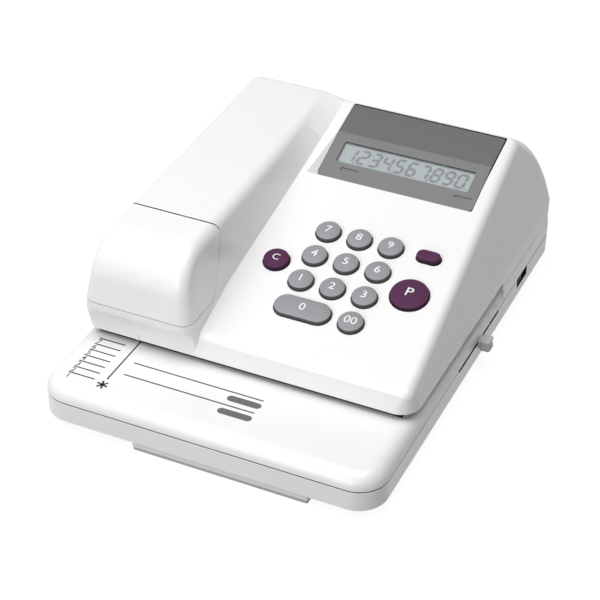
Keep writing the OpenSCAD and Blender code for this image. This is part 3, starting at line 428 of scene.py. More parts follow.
@dataclass(frozen=True)
class Printed(Finish):
    """Printing ink or a liquid-crystal segment, a little worn.

    Attributes:
        worn: The colour that it wears to.
        roughness: Its roughness.
    """

    worn: Triple
    roughness: float = 0.45

    def sockets(self, paint: Paint) -> dict[str, object]:
        """What goes into the shader's sockets, by their names."""
        wear = paint.noise(0.6, 4.0, 0.7)
        return dict(
            Base_Color=paint.mix((wear * 1.6 - 0.55).clamped(), self.colour, self.worn),
            Roughness=(wear * 0.2 + (self.roughness - 0.1)).clamped(),
        )


class Finishes:
    """Every finish of the machine, each made once."""

    def __init__(self) -> None:
        """Makes the materials."""
        plum = (0.078, 0.020, 0.064)
        self.shell = Moulded("pearl_shell", (0.86, 0.85, 0.85), 0.30, coat=0.25).material()
        self.liner = Moulded("pale_liner", (0.62, 0.62, 0.61), 0.45).material()
        self.rubber = Moulded("foot_rubber", (0.50, 0.50, 0.49), 0.75, 0.5, 0.02, 0.06).material()
        # Painted shade: a near-black that stands for the shade in cut walls, gaps, slots, the
        # parting line and round the display
        self.gap = Moulded("painted_gap_shade", (0.020, 0.016, 0.014), 0.7, shine=0.1).material()
        # Dark colour of the head's bottom plate, which also stands for the throat's shade; on the
        # bed under the head it is painted shade
        self.throat = Moulded("throat_plate_and_shade", (0.022, 0.020, 0.019), 0.6, shine=0.1).material()
        self.roller = Moulded("roller_rubber", (0.035, 0.035, 0.038), 0.7, 0.4, 0.02).material()
        self.bezel_dark = Moulded("bezel_dark", (0.105, 0.105, 0.105), 0.55, 0.25, 0.006,
                                  0.03).material()
        self.bezel_light = Moulded("bezel_light", (0.165, 0.165, 0.168), 0.5, 0.25, 0.006,
                                   0.03).material()
        self.key = Moulded("key_cap_grey", (0.270, 0.278, 0.292), 0.5, 0.3, 0.005, 0.03,
                           shine=0.3).material()
        # Painted shade: the sides of the grey and the plum keys get darker copies of their tops'
        # colours
        self.key_shaded_side = Moulded("key_side_painted_shade", (0.075, 0.077, 0.082), 0.5, 0.3, 0.005, 0.03,
                                shine=0.3).material()
        self.plum = Moulded("key_cap_plum", plum, 0.55, 0.3, 0.005, 0.05,
                            shine=0.15).material()
        self.plum_shaded_side = Moulded("plum_side_painted_shade", shade(plum, 0.4), 0.5, 0.3, 0.005, 0.05,
                                 shine=0.15).material()
        self.knob = Moulded("stop_knob_grey", (0.55, 0.55, 0.56), 0.45, 0.3, 0.006,
                            0.04).material()
        self.black = Moulded("switch_black", (0.018, 0.018, 0.020), 0.45).material()
        self.mat = Moulded("mat_rubber", (0.45, 0.46, 0.46), 0.7).material()
        self.gear = Moulded("gear_acetal", (0.78, 0.74, 0.64), 0.4).material()
        self.cell = Moulded("cell_sleeve", (0.10, 0.12, 0.16), 0.35, coat=0.3).material()
        self.steel = Plated("plated_steel").material()
        self.turned = Plated("turned_steel", (0.62, 0.62, 0.63), 0.25, "X").material()
        self.type_steel = Plated("type_metal", (0.20, 0.20, 0.22), 0.4, "X").material()
        self.window = Glass("display_glass").material()
        self.lcd = Moulded("lcd_backing", (0.30, 0.345, 0.36), 0.35, 0.4, 0.001,
                           0.02).material()
        self.coil = Wound("coil_wire", (0.42, 0.14, 0.05)).material()
        self.board = Etched("solder_mask").material()
        self.ink = Felt("inked_felt", (0.012, 0.012, 0.05)).material()
        self.legend = Printed("white_legend", (0.86, 0.86, 0.86), (0.74, 0.75, 0.76)).material()
        self.print = Printed("bed_ink", (0.025, 0.023, 0.023), (0.06, 0.055, 0.055)).material()
        self.pill = Printed("pill_ink", (0.105, 0.10, 0.10), (0.15, 0.145, 0.145)).material()
        self.segment = Printed("lcd_ink", (0.003, 0.004, 0.006), (0.006, 0.008, 0.010),
                               0.35).material()


# --- mesh workshop


class Cut(Enum):
    """How two solids are combined."""

    JOIN = "UNION"
    REMOVE = "DIFFERENCE"
    KEEP = "INTERSECT"


@dataclass(frozen=True)
class Ball:
    """A sphere that a hull goes round."""

    place: Triple
    radius: float

    def reach(self, ways: np.ndarray) -> np.ndarray:
        """How far it reaches from the origin along each of some unit vectors."""
        return ways @ np.array(self.place) + self.radius


@dataclass(frozen=True)
class Post:
    """An upright cylinder that a hull goes round."""

    place: Triple
    radius: float
    height: float

    def reach(self, ways: np.ndarray) -> np.ndarray:
        """How far it reaches from the origin along each of some unit vectors."""
        middle_z = self.place[2] + self.height / 2
        return (ways @ np.array((*self.place[:2], middle_z))
                + self.radius * np.hypot(ways[:, 0], ways[:, 1])
                + self.height / 2 * np.abs(ways[:, 2]))


def shift(x: float, y: float, z: float) -> Matrix:
    """A matrix that moves by x, y and z."""
    return Matrix.Translation((x, y, z))


def only_verts(geometry: Sequence) -> list:
    """The points among a mesh's elements."""
    return [v for v in geometry if isinstance(v, bmesh.types.BMVert)]


def face_out(mesh: Mesh) -> None:
    """Turns every face of a solid outwards."""
    bmesh.ops.recalc_face_normals(mesh, faces=mesh.faces[:])


def weld(mesh: Mesh, distance: float) -> None:
    """Merges the points that lie within a distance of each other."""
    bmesh.ops.remove_doubles(mesh, verts=mesh.verts[:], dist=distance)


def add_rod(mesh: Mesh, radius: float, length: float, place: Matrix, sides: int) -> None:
    """Adds a cylinder along Z, moved by a matrix."""
    bmesh.ops.create_cone(mesh, cap_ends=True, segments=sides, radius1=radius, radius2=radius,
                          depth=length, matrix=place)


def baked(name: str, mesh: Mesh) -> bpy.types.Mesh:
    """The stored form of a mesh, which is freed."""
    data = bpy.data.meshes.new(name)
    mesh.to_mesh(data)
    mesh.free()
    return data


def placed(name: str, data: bpy.types.ID) -> bpy.types.Object:
    """A new object of the scene."""
    made = bpy.data.objects.new(name, data)
    bpy.context.scene.collection.objects.link(made)
    return made


def as_drawn(item: bpy.types.Object) -> Mesh:
    """An object's mesh with its modifiers on."""
    graph = bpy.context.evaluated_depsgraph_get()
    made = bpy.data.meshes.new_from_object(item.evaluated_get(graph))
    mesh = bmesh.new()
    mesh.from_mesh(made)
    bpy.data.meshes.remove(made)
    return mesh


def block(a: Triple, b: Triple) -> Mesh:
    """A mesh that holds one box between its low and its high corner."""
    mesh = bmesh.new()
    a, b = Vector(a), Vector(b)
    bmesh.ops.create_cube(mesh, size=1,
                          matrix=shift(*((a + b) / 2)) @ Matrix.Diagonal((*(b - a), 1)))
    return mesh


def rod(a: Triple, b: Triple, radius: float, sides: int = 48) -> Mesh:
    """A mesh that holds one cylinder between two points."""
    mesh = bmesh.new()
    a, b = Vector(a), Vector(b)
    turn = (b - a).to_track_quat("Z", "Y").to_matrix().to_4x4()
    add_rod(mesh, radius, (b - a).length, shift(*((a + b) / 2)) @ turn, sides)
    return mesh


def edges_where(mesh: Mesh, test: Callable[[Vector, Vector], bool]) -> list[Edge]:
    """The edges whose two ends pass a test."""
    return [e for e in mesh.edges if test(e.verts[0].co, e.verts[1].co)]


def round_edges(mesh: Mesh, edges: list[Edge], radius: float, steps: int = 4) -> None:
    """Rounds edges of a mesh."""
    if edges:
        bmesh.ops.bevel(mesh, geom=edges, offset=radius, offset_type="OFFSET",
                        segments=steps, profile=0.5, affect="EDGES", material=-1,
                        clamp_overlap=True)


def whole(mesh: Mesh) -> list:
    """Everything that a mesh is made of."""
    return mesh.verts[:] + mesh.edges[:] + mesh.faces[:]


def upright(a: Vector, b: Vector) -> bool:
    """True for an edge that runs along Z."""
    return abs(a.x - b.x) < SAME and abs(a.y - b.y) < SAME


def slab(a: Triple, b: Triple, corner: float, steps: int = 12, top: float = 0.0,
         bottom: float = 0.0, back: Optional[float] = None) -> Mesh:
    """A box with rounded upright corners and rounded rims.

    Args:
        a: The low corner.
        b: The high corner.
        corner: The radius of the upright corners.
        steps: The facets across a corner.
        top: The rounding of the top rim.
        bottom: The rounding of the bottom rim.
        back: The radius of the two rear corners, if it differs.

    Returns:
        The mesh.
    """
    mesh = block(a, b)
    middle_y = (a[1] + b[1]) / 2
    for rear, radius in ((False, corner), (True, corner if back is None else back)):
        if radius > 0:
            round_edges(mesh, edges_where(mesh, lambda p, q: upright(p, q)
                                          and (p.y > middle_y) == rear), radius, steps)
    for level, radius in ((b[2], top), (a[2], bottom)):
        if radius > 0:
            rim = edges_where(mesh, lambda p, q: abs(p.z - level) < SAME
                              and abs(q.z - level) < SAME)
            round_edges(mesh, rim, radius, 6 if radius > 1 else 3)
    return mesh


def hull(parts: Sequence[Union[Ball, Post]], sides: int = 48) -> Mesh:
    """The convex hull of balls and posts.

    Args:
        parts: The balls and posts.
        sides: The number of sides of each.

    Returns:
        The mesh.
    """
    grid = bmesh.new()
    bmesh.ops.create_uvsphere(grid, u_segments=sides, v_segments=sides // 2, radius=1,
                              matrix=Matrix.Rotation(math.pi / 2, 4, "Y"))
    ways = np.array([v.co[:] for v in grid.verts])
    grid.free()
    reach = np.stack([part.reach(ways) for part in parts], axis=1)
    best = reach.max(axis=1)
    mesh = bmesh.new()
    for number, part in enumerate(parts):
        if isinstance(part, Ball):
            for way in ways[reach[:, number] > best - NEAR]:
                mesh.verts.new(np.array(part.place) + part.radius * way)
        else:
            x, y, z = part.place
            add_rod(mesh, part.radius, part.height, shift(x, y, z + part.height / 2), sides)
    bmesh.ops.delete(mesh, geom=mesh.edges[:], context="EDGES_FACES")
    made = bmesh.ops.convex_hull(mesh, input=mesh.verts[:], use_existing_faces=False)
    spare = only_verts(set(made["geom_interior"] + made["geom_unused"]))
    bmesh.ops.delete(mesh, geom=spare, context="VERTS")
    loose = [v for v in mesh.verts if not v.link_faces]
    bmesh.ops.delete(mesh, geom=loose, context="VERTS")
    weld(mesh, WELD / 2)
    bmesh.ops.dissolve_limit(mesh, angle_limit=math.radians(0.3), verts=mesh.verts[:],
                             edges=mesh.edges[:])
    face_out(mesh)
    return mesh


def prism(points: Sequence[tuple[float, float]], x0: float, x1: float,
          corners: Optional[dict[int, float]] = None) -> Mesh:
    """A prism along X.

    Args:
        points: Its outline, as places from front to back and heights.
        x0: Its left end.
        x1: Its right end.
        corners: The rounding of some of the outline's corners, by their number.

    Returns:
        The mesh.
    """
    mesh = bmesh.new()
    ring = [mesh.verts.new((x0, y, z)) for y, z in points]
    face = mesh.faces.new(ring)
    grown = bmesh.ops.extrude_face_region(mesh, geom=[face])["geom"]
    bmesh.ops.translate(mesh, verts=only_verts(grown), vec=(x1 - x0, 0, 0))
    face_out(mesh)
    for number, radius in (corners or {}).items():
        y, z = points[number]
        edge = edges_where(mesh, lambda p, q: all(
            abs(v.y - y) < SAME and abs(v.z - z) < SAME for v in (p, q)))
        round_edges(mesh, edge, radius, 8)
    return mesh


def turned(profile: Sequence[tuple[float, float]], steps: int = 64) -> Mesh:
    """A solid of revolution about Z."""
    mesh = bmesh.new()
    line = [mesh.verts.new((r, 0, z)) for r, z in profile]
    edges = [mesh.edges.new(pair) for pair in zip(line, line[1:])]
    bmesh.ops.spin(mesh, geom=line + edges, axis=(0, 0, 1), cent=(0, 0, 0),
                   angle=2 * math.pi, steps=steps, use_merge=True)
    weld(mesh, SAME)
    face_out(mesh)
    return mesh


def arc(centre: tuple[float, float], radius: float, start: float, end: float,
        steps: int) -> list[tuple[float, float]]:
    """Points along an arc."""
    angles = [math.radians(start + (end - start) * i / steps) for i in range(steps + 1)]
    return [(centre[0] + radius * math.cos(t), centre[1] + radius * math.sin(t))
            for t in angles]


def join(*meshes: Mesh) -> Mesh:
    """One mesh that holds others, uncut; the others are freed."""
    first = meshes[0]
    for other in meshes[1:]:
        data = baked("joined", other)
        first.from_mesh(data)
        bpy.data.meshes.remove(data)
    return first


def combine(base: Mesh, *tools: Mesh, how: Cut = Cut.REMOVE) -> Mesh:
    """Combines solids, one tool after the other.

    Args:
        base: The solid that is worked on.
        tools: The solids that join it, cut it or keep a part of it.
        how: What the tools do.

    Returns:
        The result; the solids given are freed.
    """
    objects = []
    for mesh in (base, *tools):
        face_out(mesh)
        objects.append(placed("solid", baked("solid", mesh)))
    for tool in objects[1:]:
        modifier = objects[0].modifiers.new("cut", "BOOLEAN")
        modifier.operation = how.value
        modifier.solver = "MANIFOLD"
        modifier.object = tool
    result = as_drawn(objects[0])
    for item in objects:
        data = item.data
        bpy.data.objects.remove(item)
        bpy.data.meshes.remove(data)
    return result


def written(text: str, size: float, thick: float = 0.05, stretch: float = 1.0,
            bold: float = 0.0) -> Mesh:
    """Lettering that lies flat, centred on the origin.

    Args:
        text: The characters.
        size: Their height, in millimetres.
        thick: How thick they are.
        stretch: How wide they are drawn.
        bold: How far their outline is grown.

    Returns:
        The mesh.
    """
    curve = bpy.data.curves.new("lettering", "FONT")
    curve.body = text
    curve.size = size * 1.4
    curve.align_x = "CENTER"
    curve.align_y = "CENTER"
    curve.extrude = thick / 2
    curve.offset = bold
    curve.resolution_u = 6
    holder = placed("lettering", curve)
    mesh = as_drawn(holder)
    bpy.data.objects.remove(holder)
    bpy.data.curves.remove(curve)
    weld(mesh, SAME)
    bmesh.ops.scale(mesh, verts=mesh.verts[:], vec=(stretch, 1, 1))
    return mesh


def split(mesh: Mesh, place: Triple, way: Triple) -> None:
    """Cuts the faces of a mesh along a plane, and keeps both sides."""
    bmesh.ops.bisect_plane(mesh, geom=whole(mesh), dist=SAME / 10, plane_co=place, plane_no=way)


def sliced(mesh: Mesh, step: float) -> Mesh:
    """The mesh, cut along X and Y at steps, so that it can follow a curved face."""
    for axis in (0, 1):
        spread = [v.co[axis] for v in mesh.verts]
        place = min(spread) + step
        way = Vector((1 - axis, axis, 0))
        while place < max(spread):
            split(mesh, way * place, way)
            place += step
    return mesh


def moved(mesh: Mesh, matrix: Matrix) -> Mesh:
    """The mesh, turned and moved by a matrix."""
    bmesh.ops.transform(mesh, matrix=matrix, verts=mesh.verts[:])
    return mesh


def set_slot(mesh: Mesh, number: int, test: Callable[[Face], bool]) -> None:
    """Gives the faces that pass a test a material slot."""
    for face in mesh.faces:
        if test(face):
            face.material_index = number


def piece(name: str, mesh: Mesh, materials: Sequence[Material], body: str = CASE,
          replaces: Sequence[str] = (), sharp: float = 32.0) -> None:
    """Makes an object of a mesh, and lets it ride on a body.

    Args:
        name: The piece's name.
        mesh: The mesh, in millimetres, which is freed.
        materials: The materials of its slots.
        body: The body that it rides on.
        replaces: The CAD nodes that it stands for.
        sharp: The angle past which an edge stays sharp, in degrees.
    """
    bmesh.ops.scale(mesh, verts=mesh.verts[:], vec=(MM, MM, MM))
    bmesh.ops.translate(mesh, verts=mesh.verts[:], vec=ASIDE)
    data = baked(name, mesh)
    data.shade_smooth()
    data.set_sharp_from_angle(angle=math.radians(sharp))
    for material in materials:
        data.materials.append(material)
    made = placed(name, data)
    weighted = made.modifiers.new("even_shading", "WEIGHTED_NORMAL")
    weighted.keep_sharp = True
    weighted.weight = 80
    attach(made, body)
    if replaces:
        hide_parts(*replaces)
    log.info("%s: %d faces", name, len(data.polygons))


# --- the machine's levels


@dataclass
class Levels:
    """Heights and edges that the sub-assemblies share, in millimetres.

    Attributes:
        wall: The wall of every moulded shell.
        slope: The keypad panel's slope, in degrees.
        panel_z: The height of the panel over the origin.
    """

    wall: float = 2.2
    slope: float = 15.25
    panel_z: float = 69.8
    base_low: Vector = field(default_factory=lambda: low("base_lower_shell"))
    base_high: Vector = field(default_factory=lambda: high("base_upper_shell"))

    def __post_init__(self) -> None:
        """Reads the levels off the frame."""
        self.part = low("base_upper_shell").z
        self.bed = self.base_high.z
        self.head = low("head_bottom_plate").z - PLAY
        self.front = self.base_low.y
        self.back = self.base_high.y
        self.half = self.base_high.x
        self.throat_end = high("head_bottom_plate").y + 2 * SEAT
        self.panel = shift(0, 0, self.panel_z) @ Matrix.Rotation(math.radians(self.slope), 4, "X")

    def panel_height(self, y: float) -> float:
        """The panel's height at a place from front to back."""
        return self.panel_z + y * math.tan(math.radians(self.slope))


@dataclass
class Assembly:
    """A part of the machine that is built in one go.

    Attributes:
        levels: The machine's levels.
        finishes: The machine's finishes.
    """

    levels: Levels
    finishes: Finishes


# --- base


@dataclass
class Base(Assembly):
    """The flat base: its lower and upper shells, the lip of painted shade in their parting line and
    its feet, but not the print on its bed.

    Attributes:
        corner: The corner radius in plan, at the front.
        back_corner: The corner radius in plan, at the back.
        bed_edge: The rounding along the top of the bed.
        bottom_edge: The rounding along the lower shell's foot.
        lip: How far the lip in the parting line lies inside the outline.
        line_gap: Half of the gap between the two shells, where the lip shows.
        bar_in: How far the foot bar stands behind the base's front.
        shaded_y: Where the painted shade of the bed under the head begins, at the front.
        shaded_x: Where it ends, at the right.
        floor_z: The height of the inside of the floor.
        line: The small bevel on both sides of the parting line.
        foot_x: How far out the rear feet are.
        slot_low: How far the stop lever's slot reaches below the parting line.
        switch_low: How far the power switch's recess does.
        well_wall: The margin of the opening over the battery well.
        deck_h: The height of the deck round the battery well.
        tab_xs: Where the stop's two tabs come through the bed.
    """

    corner: float = 17.0
    back_corner: float = 7.0
    bed_edge: float = 8.5
    bottom_edge: float = 0.8
    lip: float = 0.3
    line_gap: float = 0.36
    bar_in: float = 1.6
    shaded_y: float = -83.9
    shaded_x: float = 91.0
    floor_z: float = 8.5
    base_z: float = 6.3
    line: float = 0.2
    foot_corner: float = 1.2
    foot_x: float = 89.0
    foot_r: float = 7.0
    screw_well: float = 3.3
    screw_head: float = 3.0
    slot_low: float = 1.6
    switch_low: float = 6.1
    well_wall: float = 3.0
    well_front: float = 4.0
    deck_out: float = 4.0
    deck_h: float = 3.4
    plunger_hole: float = 5.6
    tab_xs: tuple[float, float] = (40.0, 72.0)
    tab_half: float = 1.85
    strip_in: float = 0.4
    strip_rim: float = 0.6
    pad_rim: float = 1.2

    def outline(self, inset: float, z0: float, z1: float, **rims: float) -> Mesh:
        """A slab with the base's outline."""
        lv = self.levels
        rims.setdefault("back", self.back_corner - inset)
        return slab((-lv.half + inset, lv.front + inset, z0),
                    (lv.half - inset, lv.back - inset, z1), self.corner - inset, **rims)

    def side_cut(self, y0: float, y1: float, z0: float, z1: float) -> Mesh:
        """A cutter through the right side."""
        lv = self.levels
        return block((lv.half - 2 * lv.wall, y0, z0), (lv.half + OVER, y1, z1))

    def slot_ends(self) -> tuple[float, float]:
        """The ends of the stop lever's slot."""
        knob_low, knob_high = span("lever_knob")
        travel = next(j for j in frame["joints"] if j["name"] == "check_stop_slide")["range_m"]
        return knob_low.y + travel[0] / MM, knob_high.y + travel[1] / MM

    def switch_ends(self) -> tuple[float, float]:
        """The ends of the power switch's recess."""
        return low("switch_body").y + 1, high("switch_body").y - 1

    def build_lower(self) -> None:
        """Makes the lower shell, with the foot bar and rear feet moulded on."""
        lv = self.levels
        w = lv.wall
        switch_z = lv.part - self.switch_low
        outer = self.outline(0, self.base_z, lv.part - self.line_gap, top=self.line,
                             bottom=self.bottom_edge)
        inner = self.outline(w, self.floor_z, lv.part + OVER)
        strip_low, strip_high = span("front_foot_strip")
        bar = slab((strip_low.x, lv.front + self.bar_in, strip_high.z),
                   (strip_high.x, strip_high.y, self.floor_z), self.foot_corner, 3)
        pad_y, pad_z = middle("rear_foot_pads").y, high("rear_foot_pads").z
        pads = [rod((x, pad_y, pad_z), (x, pad_y, self.floor_z), self.foot_r)
                for x in (-self.foot_x, self.foot_x)]
        shell = combine(outer, inner)
        well_low, well_high = span("battery_cells")
        deck = block((well_low.x - self.deck_out, well_low.y - self.well_wall,
                      self.base_z + 2 * PLAY),
                     (well_high.x + self.deck_out, lv.back - OVER, self.base_z + self.deck_h))
        shell = combine(shell, bar, *pads, deck, how=Cut.JOIN)
        door_low, door_high = span("battery_cover")
        cuts = [
            block((door_low.x - SEAT, door_low.y - SEAT, self.base_z - OVER),
                  (door_high.x + SEAT, lv.back + OVER, door_high.z + SEAT)),
            block((well_low.x, well_low.y, self.base_z - OVER),
                  (well_high.x, well_high.y, self.floor_z + 2 * OVER)),
            self.side_cut(*self.slot_ends(), lv.part - self.slot_low, lv.part + OVER),
            self.side_cut(*self.switch_ends(), switch_z, lv.part + OVER),
        ]
        jack_low, jack_high = span("adapter_jack")
        cuts.append(block((jack_low.x - SEAT, lv.back - 2 * w, jack_low.z),
                          (jack_high.x + SEAT, lv.back + OVER, jack_high.z + SEAT)))
        screw_low, screw_high = span("case_screws")
        inset = self.screw_head
        for x in (screw_low.x + inset, screw_high.x - inset):
            for y in (screw_low.y + inset, screw_high.y - inset):
                cuts.append(rod((x, y, self.base_z - OVER), (x, y, self.floor_z + OVER),
                                self.screw_well))
        shell = combine(shell, *cuts)
        # The walls of the stop's slot and the switch's recess get painted shade
        set_slot(shell, 1, self.in_side_opening)
        piece("lower_case", shell, [self.finishes.shell, self.finishes.gap], CASE,
              ["base_lower_shell"])

    def in_side_opening(self, face: Face) -> bool:
        """True for a wall of the openings in the right side, which gets painted shade."""
        lv = self.levels
        centre = face.calc_center_median()
        inside = any(y0 - NEAR < centre.y < y1 + NEAR
                     for y0, y1 in (self.slot_ends(), self.switch_ends()))
        return (inside and lv.half - lv.wall - NEAR < centre.x < lv.half - NEAR
                and centre.z > lv.part - self.switch_low - NEAR and face.normal.x < 0.9)

    def build_parting_shade(self) -> None:
        """Makes the lip that shows in the parting line, dark with painted shade."""
        lv = self.levels
        half_h = self.line_gap + NEAR
        ring = combine(self.outline(self.lip, lv.part - half_h, lv.part + half_h),
                       self.outline(lv.wall, lv.part - lv.wall, lv.part + lv.wall),
                       self.side_cut(*self.slot_ends(), lv.part - lv.wall, lv.part + lv.wall),
                       self.side_cut(low("switch_body").y, high("switch_body").y,
                                     lv.part - lv.wall, lv.part + lv.wall))
        piece("parting_lip", ring, [self.finishes.gap])

    def build_upper(self) -> None:
        """Makes the upper shell, whose top is the check bed."""
        lv = self.levels
        w = lv.wall
        foot_z = lv.part + self.line_gap
        front = self.outline(0, foot_z, lv.bed, top=self.bed_edge, bottom=self.line,
                             back=self.corner)
        rear = combine(self.outline(0, foot_z, lv.bed, bottom=self.line),
                       block((-lv.half - OVER, lv.throat_end, lv.part - OVER),
                             (lv.half + OVER, lv.back + OVER, lv.bed + OVER)), how=Cut.KEEP)
        shell = combine(front, rear, how=Cut.JOIN)
        inner = self.outline(w + self.bed_edge / 6, lv.part - OVER, lv.bed - w)
        px, py = middle("hammer_plunger").x, middle("hammer_plunger").y
        roll_low, roll_high = span("feed_roller")
        well_low, well_high = span("battery_cells")
        slot0, slot1 = self.slot_ends()
        cuts = [inner,
                rod((px, py, lv.bed - 2 * w), (px, py, lv.bed + OVER), self.plunger_hole),
                block((roll_low.x, roll_low.y - 2 * SEAT, lv.bed - 2 * w),
                      (roll_high.x, roll_high.y + 2 * SEAT, lv.bed + OVER)),
                block((well_low.x - self.well_wall, lv.throat_end + self.well_front, lv.part),
                      (well_high.x + self.well_wall, well_high.y + self.well_wall,
                       lv.bed + OVER)),
                self.side_cut(slot0, slot1, lv.part - OVER, lv.part + SEAT)]
        for x in self.tab_xs:
            cuts.append(block((x - self.tab_half, slot0 - 1, lv.bed - 2 * w),
                              (x + self.tab_half, slot1 + 1, lv.bed + OVER)))
        shell = combine(shell, *cuts)
        # The bed's top is split so that its part under the head can take painted shade
        for way in ((0, 1, 0), (1, 0, 0)):
            split(shell, (self.shaded_x, self.shaded_y, 0), way)
        set_slot(shell, 1, self.in_throat)
        piece("upper_case", shell, [self.finishes.shell, self.finishes.throat], CASE,
              ["base_upper_shell"])

    def in_throat(self, face: Face) -> bool:
        """True for the part of the bed's top that lies in the shade of the head, which gets painted
        shade.
        """
        centre = face.calc_center_median()
        return (centre.z > self.levels.bed - NEAR and centre.y > self.shaded_y
                and centre.x < self.shaded_x)

    def build_feet(self) -> None:
        """Makes the rubber under the foot bar and the rear feet."""
        a, b = span("front_foot_strip")
        strip = slab(a + Vector((self.strip_in, self.bar_in + SEAT, 0)),
                     b - Vector((self.strip_in, SEAT, 0)), 1.0, 3, bottom=self.strip_rim)
        piece("foot_strip", strip, [self.finishes.rubber], CASE, ["front_foot_strip"])
        pads = []
        a, b = span("rear_foot_pads")
        radius, rim = (b.y - a.y) / 2, self.pad_rim
        for x in (a.x + radius, b.x - radius):
            profile = [(0, 0), *arc((radius - rim, rim), rim, -90, 0, 4), (radius, b.z), (0, b.z)]
            pads.append(moved(turned(profile, 40), shift(x, (a.y + b.y) / 2, 0)))
        piece("rear_pads", join(*pads), [self.finishes.rubber], CASE, ["rear_foot_pads"])

    def build(self) -> None:
        """Makes all of the base."""
        self.build_lower()
        self.build_upper()
        self.build_parting_shade()
        self.build_feet()


@dataclass
class BedPrint(Assembly):
    """The ruler, lines and marks printed on the bed."""

    line_w: float = 0.95
    thick: float = 0.06
    tick_x0: float = -87.8
    tick_x1: float = -71.6
    tick_y: float = -90.6
    tick_pitch: float = 5.66
    ticks: int = 7
    numeral: float = 3.7
    numeral_bold: float = 0.06
    numeral_in: float = 1.4
    numeral_drop: float = 3.0
    centre_x: float = -65.5
    centre_y0: float = -121.8
    centre_y1: float = -84.0
    line_x0: float = -59.5
    line_x1: float = 19.1
    line_ys: tuple[float, ...] = (-102.6, -114.0)
    pill_x0: float = 0.0
    pill_x1: float = 20.0
    pill_h: float = 4.8
    pill_ys: tuple[float, ...] = (-107.8, -119.4)
    star_y: float = -127.0
    star_r: float = 3.4
    star_w: float = 1.25
    star_turn: float = 0.3

    def bar(self, x0: float, y0: float, x1: float, y1: float) -> Mesh:
        """A printed bar on the bed, between two corners."""
        z = self.levels.bed - self.thick / 2
        return block((x0, y0, z), (x1, y1, z + self.thick))

    def star(self) -> Mesh:
        """An asterisk of three crossed bars."""
        bars = []
        for turn in range(3):
            one = block((-self.star_w / 2, -self.star_r, 0),
                        (self.star_w / 2, self.star_r, self.thick))
            place = shift(self.centre_x, self.star_y, self.levels.bed - self.thick / 2)
            angle = turn * math.pi / 3 + self.star_turn
            bars.append(moved(one, place @ Matrix.Rotation(angle, 4, "Z")))
        return join(*bars)

    def build(self) -> None:
        """Makes the print."""
        h = self.line_w / 2
        marks = [self.star(), self.bar(self.centre_x - h, self.centre_y0, self.centre_x + h,
                                       self.centre_y1)]
        z = self.levels.bed
        for i in range(self.ticks):
            y = self.tick_y - i * self.tick_pitch
            marks.append(self.bar(self.tick_x0, y - h, self.tick_x1, y + h))
            marks.append(moved(written(str(self.ticks - i), self.numeral, self.thick,
                                       bold=self.numeral_bold),
                               shift(self.tick_x0 + self.numeral_in, y - self.numeral_drop, z)))
        for y in self.line_ys:
            marks.append(self.bar(self.line_x0, y - h, self.line_x1, y + h))
        piece("bed_print", join(*marks), [self.finishes.print])
        base_z = z - self.thick / 2
        pills = [slab((self.pill_x0, y - self.pill_h / 2, base_z),
                      (self.pill_x1, y + self.pill_h / 2, base_z + self.thick),
                      self.pill_h / 2 - TINY, 8) for y in self.pill_ys]
        piece("bed_pills", join(*pills), [self.finishes.pill])


# --- head


@dataclass(frozen=True)
class Wall:
    """A leaning side wall.

    Attributes:
        foot: The X of its foot, at the top of the throat.
        lean: How far it leans in, in degrees.
        side: 1 where it faces right, -1 where it faces left.
    """

    foot: float
    lean: float
    side: int = 1

    def x(self, rise: float, r: float) -> float:
        """The X of the centre of a ball that touches it at a height over its foot."""
        lean = math.radians(self.lean)
        return self.foot - self.side * rise * math.tan(lean) - self.side * r / math.cos(lean)


